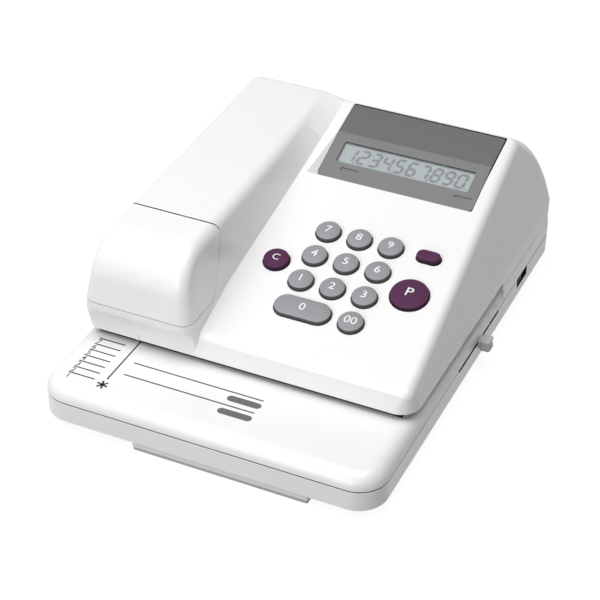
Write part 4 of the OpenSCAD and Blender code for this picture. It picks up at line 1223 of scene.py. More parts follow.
@dataclass
class Head(Assembly):
    """The printing head's shell and the ink cover in its nose.

    Attributes:
        sides: The sides of the balls that round the outside.
        inner_sides: The sides of those that round the inside.
        body_left: Where the form under the panel ends, inside the nose.
        flank_x: The foot of the nose's right flank, where it would meet the throat.
        foot_x: Where the flank meets the panel at the back.
        flank_y0: Where the flank's wedge starts, behind the ink cover.
        hind_y0: Where the back's curve starts, at the ridge.
        hind_z0: Where it ends, at the upright foot.
        hind_reach: How far the curve goes back and down.
        hind_square: The power that squares the curve.
        hind_bulge: The power by which the sides come in along it.
        cover_seam: The cover's side seam: its way behind the pin, the drop of its heel, the
            way and the drop of its knee, and the way of its toe.
        cover_corners: The roundings of that seam at the heel, the knee and the toe.
        wedge_sunk: How far the wedge's foot lies below the panel.
        tip: The rounding of the wedge's foot.
        crease: The angle past which the shell's edges stay sharp, in degrees.
        gap_top: The depth at which the painted shade on a gap's walls begins.
        gap_tilt: The upward share of a normal past which a face is no wall of a gap, and gets no
            painted shade.
        ear: The radius and the width of the cover's ears.
        ear_under: Their margin below the nose's top.
        bore_r: The radius of their bore, which the pin goes through.
    """

    sides: int = 72
    inner_sides: int = 32
    half: float = 98.5
    back_half: float = 99.7
    front: float = -88.0
    back: float = 139.0
    front_r: float = 12.0
    back_r: float = 7.0
    body_left: float = -60.0
    side_lean: float = 11.5
    nose_lean: float = 9.5
    flank_lean: float = 7.0
    flank_x: float = -26.4
    foot_x: float = -23.6
    crease: float = 14.0
    flank_y0: float = -49.5
    flank_steps: int = 14
    chin_z: float = 44.0
    ridge_r: float = 6.0
    ridge_in: float = 1.5
    panel_len: float = 202.0
    nose_top: float = 100.3
    nose_fall: float = 2.0
    nose_r: float = 7.0
    nose_bulge: float = 7.0
    nose_marks: tuple[tuple[float, float], ...] = (
        (0.0, 18.0), (0.4, 31.0), (2.5, 42.0), (8.0, 50.5), (16.0, 54.5))
    nose_end: float = 30.0
    hind_r: float = 7.3
    hind_y0: float = 106.2
    hind_z0: float = 43.5
    hind_reach: tuple[float, float] = (25.5, 43.9)
    hind_square: float = 1.33
    hind_bulge: float = 2.9
    hind_steps: int = 12
    inner_steps: int = 4
    end_steps: int = 8
    nose_steps: int = 4
    skirt: float = 6.3
    back_skirt: float = 16.0
    cover_gap: float = 0.6
    cover_low: float = 56.0
    cover_back: float = 3.0
    cover_depth: float = 4.6
    cover_seam: tuple[float, ...] = (3.5, 10.0, 5.0, 26.5, 12.5)
    cover_corners: tuple[float, ...] = (8.0, 12.0, 5.0)
    ear: float = 2.2
    ear_under: float = 1.2
    bore_r: float = 1.05
    rim_r: float = 0.35
    rim_angle: float = 40.0
    rim_area: tuple[float, float, float, float] = (-30.0, -66.0, 84.0, 108.0)
    chin_r: float = 7.0
    wedge_sunk: float = 0.6
    tip: float = 0.4
    gap_top: float = 0.3
    gap_tilt: float = 0.2
    pointer_w: float = 1.8
    pointer_h: float = 3.4
    pointer_r: float = 0.3
    pointer_out: float = 0.6
    pointer_y: float = -37.0

    def __post_init__(self) -> None:
        """Works out the derived places."""
        slope = math.radians(self.levels.slope)
        self.panel_front = self.front + self.ridge_r + self.ridge_in
        self.panel_back = self.panel_front + (self.panel_len - 2 * self.ridge_r) * math.cos(slope)
        self.drop = self.ridge_r / math.cos(slope)
        self.nose_front = self.front - self.nose_bulge
        self.pivot_y, self.pivot_z = middle("cover_hinge_pin").yz
        self.right = Wall(self.half, self.side_lean)
        self.left = Wall(-self.half, self.nose_lean, -1)
        self.inner = Wall(self.flank_x, self.flank_lean)

    def ball(self, wall: Wall, y: float, z: float, r: float, inset: float = 0.0,
             out: float = 0.0) -> Ball:
        """A ball against a wall, or a way outside it."""
        x = wall.x(z - self.levels.head, r)
        return Ball((x + wall.side * out, y, z), r - inset)

    def hind(self, steps: int) -> list[tuple[float, float, float]]:
        """The balls' centres along the back, which curves over to the ridge."""
        wide = self.back_half - self.right.x(self.hind_z0 - self.levels.head, 0)
        points = []
        for i in range(steps + 1):
            t = math.pi / 2 * i / steps
            rise = math.sin(t) ** self.hind_square
            points.append((self.hind_y0 + self.hind_reach[0] * math.cos(t) ** self.hind_square,
                           self.hind_z0 + self.hind_reach[1] * rise,
                           wide * (1 - rise ** self.hind_bulge)))
        return points

    def steps(self, inset: float) -> int:
        """The steps of the back's curve, of which the inside has fewer."""
        return self.hind_steps if inset == 0 else self.inner_steps

    def post(self, x: float, y: float, r: float, inset: float) -> Post:
        """A post at the foot of the head's walls."""
        height = self.skirt if y < 0 else self.back_skirt
        return Post((x, y, self.levels.bed), r - inset, height)

    def body(self, inset: float, sides: int) -> Mesh:
        """The form under the keypad panel.

        Args:
            inset: How far it lies inside the outer form.
            sides: The sides of its balls.

        Returns:
            The mesh.
        """
        front_y, back_y = self.front + self.front_r, self.back - self.back_r
        parts: list[Union[Ball, Post]] = [
            self.post(self.half - self.front_r, front_y, self.front_r, inset),
            self.post(self.back_half - self.back_r, back_y, self.back_r, inset),
            self.post(self.body_left, front_y, self.front_r, inset),
            self.post(self.body_left, back_y, self.back_r, inset)]
        for y in (self.panel_front, self.panel_back):
            z = self.levels.panel_height(y) - self.drop
            parts.append(self.ball(self.right, y, z, self.ridge_r, inset))
            parts.append(Ball((self.body_left, y, z), self.ridge_r - inset))
        for y, z, out in self.hind(self.steps(inset)):
            parts.append(self.ball(self.right, y, z, self.hind_r, inset, out))
            parts.append(Ball((self.body_left, y, z), self.hind_r - inset))
        return hull(parts, sides)

    def nose_z(self, y: float) -> float:
        """The height of the nose's top at a place."""
        return self.nose_top - (self.panel_back - y) * math.tan(math.radians(self.nose_fall))

    def nose_profile(self, steps: int) -> list[Vector]:
        """Centres of the balls along the nose's profile.

        Args:
            steps: The number of points to each stretch of the curved part.

        Returns:
            Places from front to back and heights, from the throat up and back.
        """
        y, z, r = self.nose_front + self.nose_r, self.levels.head, self.nose_r
        knots = [Vector((y + 6, z + r - 0.5))]
        knots += [Vector((y + back, z + up)) for back, up in self.nose_marks]
        knots.append(Vector((y + self.nose_end, self.nose_z(y + self.nose_end) - r)))
        ends = [2 * knots[0] - knots[1], *knots, 2 * knots[-1] - knots[-2]]
        points = []
        for a, b, c, d in zip(ends, ends[1:], ends[2:], ends[3:]):
            for i in range(steps):
                t = i / steps
                points.append(0.5 * (2 * b + (c - a) * t + (2 * a - 5 * b + 4 * c - d) * t * t
                                     + (3 * b - a - 3 * c + d) * t ** 3))
        return [*points, knots[-1], Vector((self.panel_back, self.nose_z(self.panel_back) - r))]

    def nose(self, inset: float, sides: int) -> Mesh:
        """The form of the nose.

        Args:
            inset: How far it lies inside the outer form.
            sides: The sides of its balls.

        Returns:
            The mesh.
        """
        front_y, back_y = self.front + self.front_r, self.back - self.back_r
        parts: list[Union[Ball, Post]] = [
            self.post(-self.back_half + self.back_r, back_y, self.back_r, inset),
            self.post(-self.half + self.front_r, front_y, self.front_r, inset),
            self.post(self.flank_x - self.front_r, front_y, self.front_r, inset)]
        for point in self.nose_profile(self.nose_steps if inset == 0 else 1):
            for wall in (self.left, self.inner):
                parts.append(self.ball(wall, point.x, point.y, self.nose_r, inset))
        for y, z, out in self.hind(self.steps(inset)):
            parts.append(self.ball(self.left, y, z, self.hind_r, inset, out))
            parts.append(self.ball(self.inner, y, z, self.hind_r, inset))
        return combine(hull(parts, sides), self.chin(inset))

    def chin(self, inset: float) -> Mesh:
        """What is cut away below the nose's bulge, so that it ends above the foot."""
        y, z = self.front + inset, self.chin_z + inset
        rise, low_z = self.nose_bulge + 1, self.levels.bed - self.nose_r
        points = [(y, low_z), (y, z), (y - rise, z + rise), (y - 3 * rise, z + rise),
                  (y - 3 * rise, low_z)]
        return prism(points, -self.levels.half - OVER, self.flank_x + self.nose_r,
                     {1: self.chin_r})

    def flank_section(self, y: float) -> list[tuple[float, float, float]]:
        """The wedge between the nose's ridge and the panel, cut across at a place."""
        z = self.nose_z(y) - self.nose_r
        centre = Vector((self.inner.x(z - self.levels.head, self.nose_r), z))
        share = (y - self.flank_y0) / (self.panel_back - self.flank_y0)
        foot_z = self.levels.panel_height(y) - self.wedge_sunk
        front_z = self.levels.panel_height(self.flank_y0)
        front_x = self.inner.x(front_z - self.levels.head, 0)
        foot = Vector((front_x + share * (self.foot_x - front_x), foot_z))
        way = foot - centre
        turn = math.atan2(way.y, way.x) + math.acos(self.nose_r / way.length)
        crest = centre + self.nose_r * Vector((math.cos(turn), math.sin(turn)))
        inner = (centre.x - self.nose_r, foot_z - self.nose_r)
        return [(x, y, z) for x, z in ((*crest,), (*foot,), inner, (*centre,))]

    def flank(self) -> Mesh:
        """The wedge that carries the nose's right flank down to the panel."""
        mesh = bmesh.new()
        rings = []
        for i in range(self.flank_steps + 1):
            y = self.flank_y0 + (self.panel_back - self.flank_y0) * i / self.flank_steps
            verts = [mesh.verts.new(place) for place in self.flank_section(y)]
            rings.append([mesh.edges.new(pair) for pair in zip(verts, verts[1:] + verts[:1])])
        for one, other in zip(rings, rings[1:]):
            bmesh.ops.bridge_loops(mesh, edges=one + other)
        bmesh.ops.holes_fill(mesh, edges=rings[0] + rings[-1], sides=4)
        face_out(mesh)
        return combine(mesh, self.flank_end(), how=Cut.JOIN)

    def flank_end(self) -> Mesh:
        """The wedge's end, which follows the back of the head down."""
        tip, under = self.tip, self.wedge_sunk
        sunk = self.hind_r - under - tip
        top_z = self.nose_z(self.panel_back) - self.nose_r
        parts = [self.ball(self.inner, self.panel_back, top_z, self.nose_r),
                 Ball((self.foot_x - tip, self.panel_back,
                       self.levels.panel_height(self.panel_back) - under - tip), tip)]
        for y, z, _ in self.hind(self.end_steps):
            along = max((y - self.hind_y0) / self.hind_reach[0], 0.0)
            up = max((z - self.hind_z0) / self.hind_reach[1], 0.0)
            way = Vector((along ** 0.5 / self.hind_reach[0], up ** 0.5 / self.hind_reach[1]))
            way = way.normalized() * sunk
            parts.append(self.ball(self.inner, y, z, self.hind_r))
            parts.append(Ball((self.foot_x - tip, y + way.x, z + way.y), tip))
        return hull(parts, self.sides)

    def cover_space(self, gap: float) -> Mesh:
        """The space that the ink cover fills, grown by a gap.

        Args:
            gap: The gap.

        Returns:
            The mesh.
        """
        y, z = self.pivot_y, self.pivot_z
        top, front = self.nose_top + 2 * self.nose_r, self.nose_front - self.nose_r
        behind, heel, knee, knee_drop, toe = self.cover_seam
        points = [(y - gap, top), (y - gap, z), (y + behind + gap, z),
                  (y + behind + gap, z - heel), (y - knee + gap, z - knee_drop),
                  (y - toe + gap, self.cover_low - gap), (front, self.cover_low - gap),
                  (front, top)]
        x0, x1 = -self.levels.half - OVER, self.flank_x + OVER
        space = prism(points, x0, x1, dict(zip((3, 4, 5), self.cover_corners)))
        radius = math.hypot(self.cover_back, self.cover_depth) + gap
        barrel = rod((x0, y, z), (x1, y, z), radius, 96)
        return combine(space, barrel, how=Cut.JOIN)

    def key_cutters(self) -> list[Mesh]:
        """Cutters for the holes in the panel, one for each key."""
        return [cap.cutter(self.levels) for cap in KEYS]

    def rim_edges(self, mesh: Mesh) -> list[Edge]:
        """The edges of the holes on the panel's outer face."""
        inverse = self.levels.panel.inverted()
        x0, y0, x1, y1 = self.rim_area
        found = []
        for edge in mesh.edges:
            ends = [inverse @ v.co for v in edge.verts]
            on_face = all(abs(p.z) < TINY for p in ends)
            inside = all(x0 < p.x < x1 and y0 < p.y < y1 for p in ends)
            if on_face and inside and edge.calc_face_angle(0) > math.radians(self.rim_angle):
                found.append(edge)
        return found

    def build_shell(self, display: "Display") -> None:
        """Makes the head's shell.

        Args:
            display: The display, which gives the cutters for its opening.
        """
        lv = self.levels
        shell = combine(self.body(0, self.sides), self.nose(0, self.sides), self.flank(),
                        how=Cut.JOIN)
        skin = BVHTree.FromBMesh(shell)
        shell = combine(shell, self.body(lv.wall, self.inner_sides),
                        self.nose(lv.wall, self.inner_sides))
        back_wall = block((-self.half + 1, lv.throat_end, lv.bed),
                          (self.half - 1, lv.throat_end + lv.wall, lv.head + 2 * lv.wall))
        shell = combine(shell, back_wall, display.ramp_backing(), how=Cut.JOIN)
        throat = block((-2 * lv.half, self.nose_front - FAR, lv.bed - OVER),
                       (2 * lv.half, lv.throat_end, lv.head))
        shell = combine(shell, throat, self.cover_space(self.cover_gap), display.cutter(),
                        display.ramp_cutter(), *self.key_cutters())
        weld(shell, WELD)
        bmesh.ops.dissolve_degenerate(shell, dist=WELD / 2, edges=shell.edges[:])
        round_edges(shell, self.rim_edges(shell), self.rim_r, 3)
        shell.normal_update()
        up = self.levels.panel.col[2].to_3d()

        def in_gap(face: Face) -> bool:
            """True for a cut wall, which lies below the skin and doesn't face up, and gets painted
            shade.
            """
            depth = skin.find_nearest(face.calc_center_median())[3]
            return self.gap_top < depth < lv.wall - NEAR and face.normal.dot(up) < self.gap_tilt

        # Painted shade on the walls of the gaps, holes and throat
        set_slot(shell, 1, in_gap)
        piece("head_case", shell, [self.finishes.shell, self.finishes.gap], CASE,
              ["head_shell"], sharp=self.crease)

    def build_cover(self) -> None:
        """Makes the ink cover, with the ears that turn on its pin."""
        cover = combine(self.nose(0, self.sides), self.nose(self.levels.wall, self.inner_sides))
        cover = combine(cover, self.cover_space(0), how=Cut.KEEP)
        a, b = span("cover_hinge_pin")
        ears = []
        y, z, ear = self.pivot_y, self.pivot_z, self.ear
        for x in (a.x, b.x - ear):
            ears.append(rod((x, y, z), (x + ear, y, z), ear, 32))
            ears.append(block((x, y - ear, z), (x + ear, y + ear, self.nose_z(y) - self.ear_under)))
        cover = combine(cover, *ears, how=Cut.JOIN)
        bore = rod((a.x - NEAR, y, z), (b.x + NEAR, y, z), self.bore_r, 24)
        cover = combine(cover, bore)
        weld(cover, WELD)
        piece("ink_lid", cover, [self.finishes.shell], "ink_cover_body", ["ink_cover"])

    def build_pointers(self) -> None:
        """Makes the two small pointers on the head's lower edge, at the print line."""
        foot = self.levels.head + 2 * PLAY
        out, half_w = self.pointer_out, self.pointer_w / 2
        x = middle("hammer_plunger").x
        front = block((x - half_w, self.front - out, foot),
                      (x + half_w, self.front + 1, foot + self.pointer_h))
        side = block((self.half - 1, self.pointer_y - half_w, foot),
                     (self.half + out, self.pointer_y + half_w, foot + self.pointer_h))
        for mesh in (front, side):
            round_edges(mesh, mesh.edges[:], self.pointer_r, 2)
        piece("line_pointers", join(front, side), [self.finishes.legend])


# --- keypad


@dataclass(frozen=True)
class Cap:
    """One key: where it is on the panel, its outline and its legend.

    Attributes:
        node: The CAD node that it stands for.
        x: Its place to the right.
        s: Its place up the panel's slope.
        width: Its width.
        height: Its height along the slope, or its width if it is round.
        legend: The characters on it.
        plum: True if it is plum, and not grey.
        legend_scale: The size of its legend against the others'.
    """

    node: str
    x: float
    s: float
    width: float
    height: float
    legend: str = ""
    plum: bool = False
    legend_scale: float = 1.0

    def is_round(self) -> bool:
        """True if the key is round."""
        return self.width == self.height

    def cutter(self, levels: Levels, gap: float = 0.6, deep: float = 9.0) -> Mesh:
        """A cutter for its hole in the panel."""
        w, h = self.width / 2 + gap, self.height / 2 + gap
        if self.is_round():
            made = rod((0, 0, -deep), (0, 0, deep), w, 64)
        else:
            made = slab((-w, -h, -deep), (w, h, deep), h - TINY, 20)
        return moved(made, levels.panel @ shift(self.x, self.s, 0))


# The keypad's pitches to the right and up the slope, then the places of its first column
# and row and of the columns on both sides of the figures
PITCH_X, PITCH_S = 19.0, 19.25
COLUMN, ROW = 9.1, 3.2
CLEAR_X, PRINT_X = COLUMN - 19.3, COLUMN + 60.6
ROUND_KEY = 14.2


def digit_key(name: str, legend: str, column: int, row: int) -> Cap:
    """A round grey key at a column and a row of the keypad."""
    return Cap(name, COLUMN + column * PITCH_X, ROW - row * PITCH_S, ROUND_KEY, ROUND_KEY, legend)


MID_ROW = ROW - 1.5 * PITCH_S
KEYS = [digit_key(f"key_{7 - 3 * row + column}", str(7 - 3 * row + column), column, row)
        for row in range(3) for column in range(3)]
KEYS += [
    Cap("key_0", COLUMN + PITCH_X / 2, ROW - 3 * PITCH_S, 33.0, ROUND_KEY, "0"),
    digit_key("key_00", "00", 2, 3),
    Cap("clear_key", CLEAR_X, MID_ROW, 14.8, 14.8, "C", True, 0.86),
    Cap("print_key", PRINT_X, MID_ROW, 21.6, 21.6, "P", True, 1.2),
    Cap("mode_key", PRINT_X, ROW, 14.0, 7.7, "", True),
]


@dataclass
class Keypad(Assembly):
    """The keys with their legends.

    Attributes:
        proud: How far a key stands above the panel.
        flange_top: The height of the flange below the panel that keeps a key in.
        side_tilt: The upward share of a face's normal below which it is a key's side, which gets
            painted shade.
        crown_share: The rise of a key's top, as a share of its radius.
        crown_reach: How far the top is followed, as a share of its radius.
        rim_start: Where the rounding of the rim begins, in degrees above its end.
        legend_step: How finely a legend is cut, so that it can follow the top.
    """

    proud: float = 3.4
    flange_top: float = -2.7
    flange: float = 1.0
    stem: float = 2.8
    crown_share: float = 0.10
    edge_r: float = 0.7
    side_tilt: float = 0.6
    crown_reach: float = 0.94
    crown_steps: int = 14
    rim_drop: float = 0.15
    rim_start: float = 62.0
    stem_share: float = 0.4
    legend_size: float = 5.0
    legend_thick: float = 0.08
    legend_stretch: float = 1.1
    legend_step: float = 0.6

    def crown_radius(self, r: float) -> float:
        """The radius of the sphere that a round key's top is cut from."""
        rise = r * self.crown_share
        return (r * r + rise * rise) / (2 * rise)

    def crown_z(self, r: float, distance: float) -> float:
        """The height of a round key's top at a distance from its axis."""
        big = self.crown_radius(r)
        return self.proud - big + math.sqrt(big * big - distance * distance)

    def round_cap(self, r: float) -> Mesh:
        """A round key, turned about its axis."""
        e, low_z = self.edge_r, self.flange_top - self.flange
        reach, stem_r = r * self.crown_reach, r * self.stem_share
        places = [reach * i / self.crown_steps for i in range(self.crown_steps - 2)]
        rim_z = self.crown_z(r, r) - self.rim_drop
        profile = [*((place, self.crown_z(r, place)) for place in places),
                   *arc((r - e, rim_z - e), e, self.rim_start, 0, 6), (r, self.flange_top),
                   (r + self.flange, self.flange_top), (r + self.flange, low_z), (stem_r, low_z),
                   (stem_r, low_z - self.stem), (0, low_z - self.stem)]
        return turned(profile, 72)

    def long_cap(self, cap: Cap) -> Mesh:
        """An oblong key: a round one that is cut in half and drawn out along X."""
        made = self.round_cap(cap.height / 2)
        draw = (cap.width - cap.height) / 2
        bmesh.ops.bisect_plane(made, geom=whole(made), dist=SAME, plane_co=(0, 0, 0),
                               plane_no=(1, 0, 0), clear_inner=True)
        bmesh.ops.translate(made, verts=made.verts[:], vec=(draw, 0, 0))
        rim = [edge for edge in made.edges if edge.is_boundary]
        grown = bmesh.ops.extrude_edge_only(made, edges=rim)["geom"]
        bmesh.ops.translate(made, verts=only_verts(grown), vec=(-draw, 0, 0))
        bmesh.ops.mirror(made, geom=whole(made), axis="X", merge_dist=1e-3)
        weld(made, 1e-3)
        face_out(made)
        return made

    def legend(self, cap: Cap) -> Optional[Mesh]:
        """A key's legend, laid on its top."""
        if not cap.legend:
            return None
        size = self.legend_size * cap.legend_scale
        letters = sliced(written(cap.legend, size, self.legend_thick, self.legend_stretch),
                         self.legend_step)
        draw = (cap.width - cap.height) / 2
        for vert in letters.verts:
            across = max(0.0, abs(vert.co.x) - draw)
            vert.co.z += self.crown_z(cap.height / 2, math.hypot(across, vert.co.y))
        return letters

    def build(self) -> None:
        """Makes every key and its legend."""
        for cap in KEYS:
            place = self.levels.panel @ shift(cap.x, cap.s, 0)
            made = self.round_cap(cap.width / 2) if cap.is_round() else self.long_cap(cap)
            made.normal_update()
            # A key's sides get the darker copy of its colour: painted shade
            set_slot(made, 1, lambda face: face.normal.z < self.side_tilt)
            shown = self.finishes
            wear = [shown.plum, shown.plum_shaded_side] if cap.plum else [shown.key, shown.key_shaded_side]
            piece(cap.node + "_cap", moved(made, place), wear, cap.node + "_body",
                  [cap.node])
            letters = self.legend(cap)
            if letters:
                piece(cap.node + "_legend", moved(letters, place), [self.finishes.legend],
                      cap.node + "_body")


# --- display


@dataclass
class Display(Assembly):
    """The folded display: its frame, the black sheet of painted shade round it, and the digits with
    their plate, which lie behind the glass.

    Attributes:
        fold: The place up the panel where the lower face begins to sink.
        sink: How far the lower face lies below the panel at its front.
        shade_sheet_x: How far the black sheet of painted shade in the gap round the frame shows at
            the right.
        shade_sheet_s: How far it shows at the back.
        shade_sheet_low: How far it lies below the panel.
        ramp: How far the sloping edge goes out at the left, the front and the right.
        window_up: How far the window's middle lies above that of the lower face.
        plate_top: The depth of the liquid-crystal plate below the lower face.
        clip_xs: The left ends of the two notches below the window.
        slant: How far the digits lean, as a share of their height.
    """

    x0: float = -18.0
    x1: float = 78.0
    s0: float = 46.5
    s1: float = 105.5
    fold: float = 81.5
    sink: float = 3.5
    thick: float = 4.0
    corner: float = 4.0
    back_corner: float = 1.6
    shade_sheet_x: float = 0.9
    shade_sheet_s: float = 1.3
    shade_sheet_low: float = 0.25
    ramp: tuple[float, float, float] = (4.5, 2.3, 1.5)
    ramp_r: float = 0.3
    window_w: float = 82.0
    window_h: float = 15.4
    window_r: float = 0.8
    window_up: float = 3.4
    plate_top: float = 1.8
    clip_xs: tuple[float, float] = (-36.0, 34.5)
    clip_ys: tuple[float, float] = (-13.6, -11.2)
    clip_w: float = 11.0
    clip_deep: float = 0.7
    shown: str = "1,234,567,890."
    digit_h: float = 9.4
    digit_w: float = 4.7
    digit_pitch: float = 7.65
    digit_up: float = 0.3
    plate_h: float = 2.0
    stroke: float = 1.7
    stroke_gap: float = 0.25
    stroke_thick: float = 0.08
    stroke_point: float = 0.96
    dot_xs: tuple[float, float] = (1.75, 0.85)
    dot_half: float = 0.45
    dot_thick: float = 0.04
    tail_x: float = 1.45
    tail_h: float = 1.5
    slant: float = 0.13

    def __post_init__(self) -> None:
        """Works out the lower face's tilt and frame."""
        tilt = math.atan(self.sink / (self.fold - self.s0))
        middle_s = (self.s0 + self.fold) / 2 + self.window_up
        centre = shift((self.x0 + self.x1) / 2, middle_s,
                       -(self.fold - middle_s) * math.tan(tilt))
        self.face = self.levels.panel @ centre @ Matrix.Rotation(tilt, 4, "X")

    def outline(self, low_out: float, x_out: float, s_out: float, z0: float, z1: float) -> Mesh:
        """The display's outline, grown at its low corner, to the right and to the back."""
        return slab((self.x0 - low_out, self.s0 - low_out, z0),
                    (self.x1 + x_out, self.s1 + s_out, z1), self.corner, 6,
                    back=self.back_corner)

    def cutter(self, deep: float = 9.0) -> Mesh:
        """A cutter for the display's opening in the panel."""
        return moved(self.outline(SEAT, self.shade_sheet_x, self.shade_sheet_s, -deep, deep),
                     self.levels.panel)

    def ramp_backing(self) -> Mesh:
        """What the sloping edge round the sunk face is cut from."""
        left, front, right = self.ramp
        made = block((self.x0 - left - 2, self.s0 - front - 2, -self.sink - 2),
                     (self.x1 + right + 2, self.fold + 2, -0.5))
        return moved(made, self.levels.panel)

    def ramp_cutter(self) -> Mesh:
        """A cutter for the sloping edge round the sunk face."""
        left, front, right = self.ramp
        r = self.ramp_r
        corners = [(self.x0 - left, self.s0 - front, r), (self.x1 + right, self.s0 - front, r),
                   (self.x0, self.fold, r), (self.x1, self.fold, r),
                   (self.x0, self.s0, -self.sink), (self.x1, self.s0, -self.sink),
                   (self.x0, self.fold, -0.1), (self.x1, self.fold, -0.1)]
        return moved(hull([Ball(place, r) for place in corners], 12), self.levels.panel)

    def build_shade_sheet(self) -> None:
        """Makes the black sheet of painted shade that shows in the gap at the back and the right of
        the frame.
        """
        shade_sheet = self.outline(0, self.shade_sheet_x - PLAY, self.shade_sheet_s - PLAY, -self.thick,
                            -self.shade_sheet_low)
        frame_space = slab((self.x0 - 1, self.s0 - 1, -2 * self.thick),
                           (self.x1 + PLAY, self.s1 + PLAY, 1), 0.5, 2)
        sunk = block((self.x0 - 1, self.s0 - 1, -self.sink - 0.4), (self.x1 + 5, self.fold, 1))
        shade_sheet = combine(shade_sheet, frame_space, sunk)
        piece("display_gasket", moved(shade_sheet, self.levels.panel), [self.finishes.gap])

    def build_frame(self) -> None:
        """Makes the frame: a flush upper face and a lower face that sinks to the front."""
        outline = [(self.s0, -self.sink), (self.fold, 0), (self.s1, 0), (self.s1, -self.thick),
                   (self.fold, -self.thick), (self.s0, -self.sink - self.thick)]
        made = combine(prism(outline, self.x0, self.x1), self.outline(0, 0, 0, -FAR, FAR),
                       how=Cut.KEEP)
        moved(made, self.levels.panel)
        window = slab((-self.window_w / 2, -self.window_h / 2, -12),
                      (self.window_w / 2, self.window_h / 2, 12), self.window_r, 4)
        cuts = [moved(window, self.face)]
        low_y, high_y = self.clip_ys
        for x in self.clip_xs:
            clip = slab((x, low_y, -self.clip_deep), (x + self.clip_w, high_y, 5), 0.4, 3)
            cuts.append(moved(clip, self.face))
        made = combine(made, *cuts)
        inverse = self.levels.panel.inverted()
        set_slot(made, 1, lambda f: (inverse @ f.calc_center_median()).y < self.fold)
        to_face = self.face.inverted()

        def in_window(face: Face) -> bool:
            """True for a wall of the window, which gets painted shade."""
            spot = to_face @ face.calc_center_median()
            return (abs(spot.x) < self.window_w / 2 + NEAR and spot.z < -NEAR
                    and abs(spot.y) < self.window_h / 2 + NEAR)

        # The window's walls get painted shade
        set_slot(made, 2, in_window)
        piece("display_frame", made, [self.finishes.bezel_dark, self.finishes.bezel_light,
                                      self.finishes.gap], CASE, ["display_bezel"])

    def stroke_bar(self, a: tuple[float, float], b: tuple[float, float]) -> Mesh:
        """One segment of a digit, with pointed ends."""
        start, end = Vector((*a, 0)), Vector((*b, 0))
        length, half = (end - start).length - self.stroke_gap, self.stroke / 2
        bar = block((-length / 2, -half, 0), (length / 2, half, self.stroke_thick))
        round_edges(bar, edges_where(bar, upright), half * self.stroke_point, 1)
        turn = Matrix.Rotation(math.atan2(end.y - start.y, end.x - start.x), 4, "Z")
        return moved(bar, shift(*((start + end) / 2)) @ turn)

    def digit(self, sign: str) -> list[Mesh]:
        """The lit segments of a digit whose lower left corner is at the origin."""
        w, h = self.digit_w, self.digit_h
        ends = {"a": ((0, h), (w, h)), "b": ((w, h), (w, h / 2)), "c": ((w, h / 2), (w, 0)),
                "d": ((0, 0), (w, 0)), "e": ((0, h / 2), (0, 0)), "f": ((0, h), (0, h / 2)),
                "g": ((0, h / 2), (w, h / 2))}
        lit = {"0": "abcdef", "1": "bc", "2": "abged", "3": "abgcd", "4": "fgbc", "5": "afgcd",
               "6": "afgedc", "7": "abc", "8": "abcdefg", "9": "abcdfg"}
        return [self.stroke_bar(*ends[name]) for name in lit[sign]]

    def build_digits(self) -> None:
        """Makes the liquid-crystal plate and the lit segments on it."""
        top = self.plate_top
        half_w, half_h = self.window_w / 2 - SEAT, self.window_h / 2 - SEAT
        plate = block((-half_w, -half_h, -top - self.plate_h), (half_w, half_h, -top))
        piece("lcd_plate", moved(plate, self.face), [self.finishes.lcd], CASE, ["lcd_panel"])
        marks = []
        digits = [c for c in self.shown if c.isdigit()]
        x = -(len(digits) - 1) * self.digit_pitch / 2 - self.digit_w / 2
        y = -self.digit_h / 2 + self.digit_up
        for sign in self.shown:
            if sign.isdigit():
                marks += [moved(bar, shift(x, y, 0)) for bar in self.digit(sign)]
                x += self.digit_pitch
                continue
            left, right = x - self.dot_xs[0], x - self.dot_xs[1]
            marks.append(block((left, y - self.dot_half, 0),
                               (right, y + self.dot_half, self.dot_thick)))
            if sign == ",":
                marks.append(block((x - self.tail_x, y - self.tail_h, 0),
                                   (right, y - self.dot_half, self.dot_thick)))
        made = join(*marks)
        lean = Matrix.Identity(4)
        lean[0][1] = self.slant
        moved(made, self.face @ shift(0, 0, -top + TINY) @ lean)
        piece("lcd_segments", made, [self.finishes.segment])

    def build(self) -> None:
        """Makes all of the display."""
        self.build_frame()
        self.build_shade_sheet()
        self.build_digits()


# --- right side


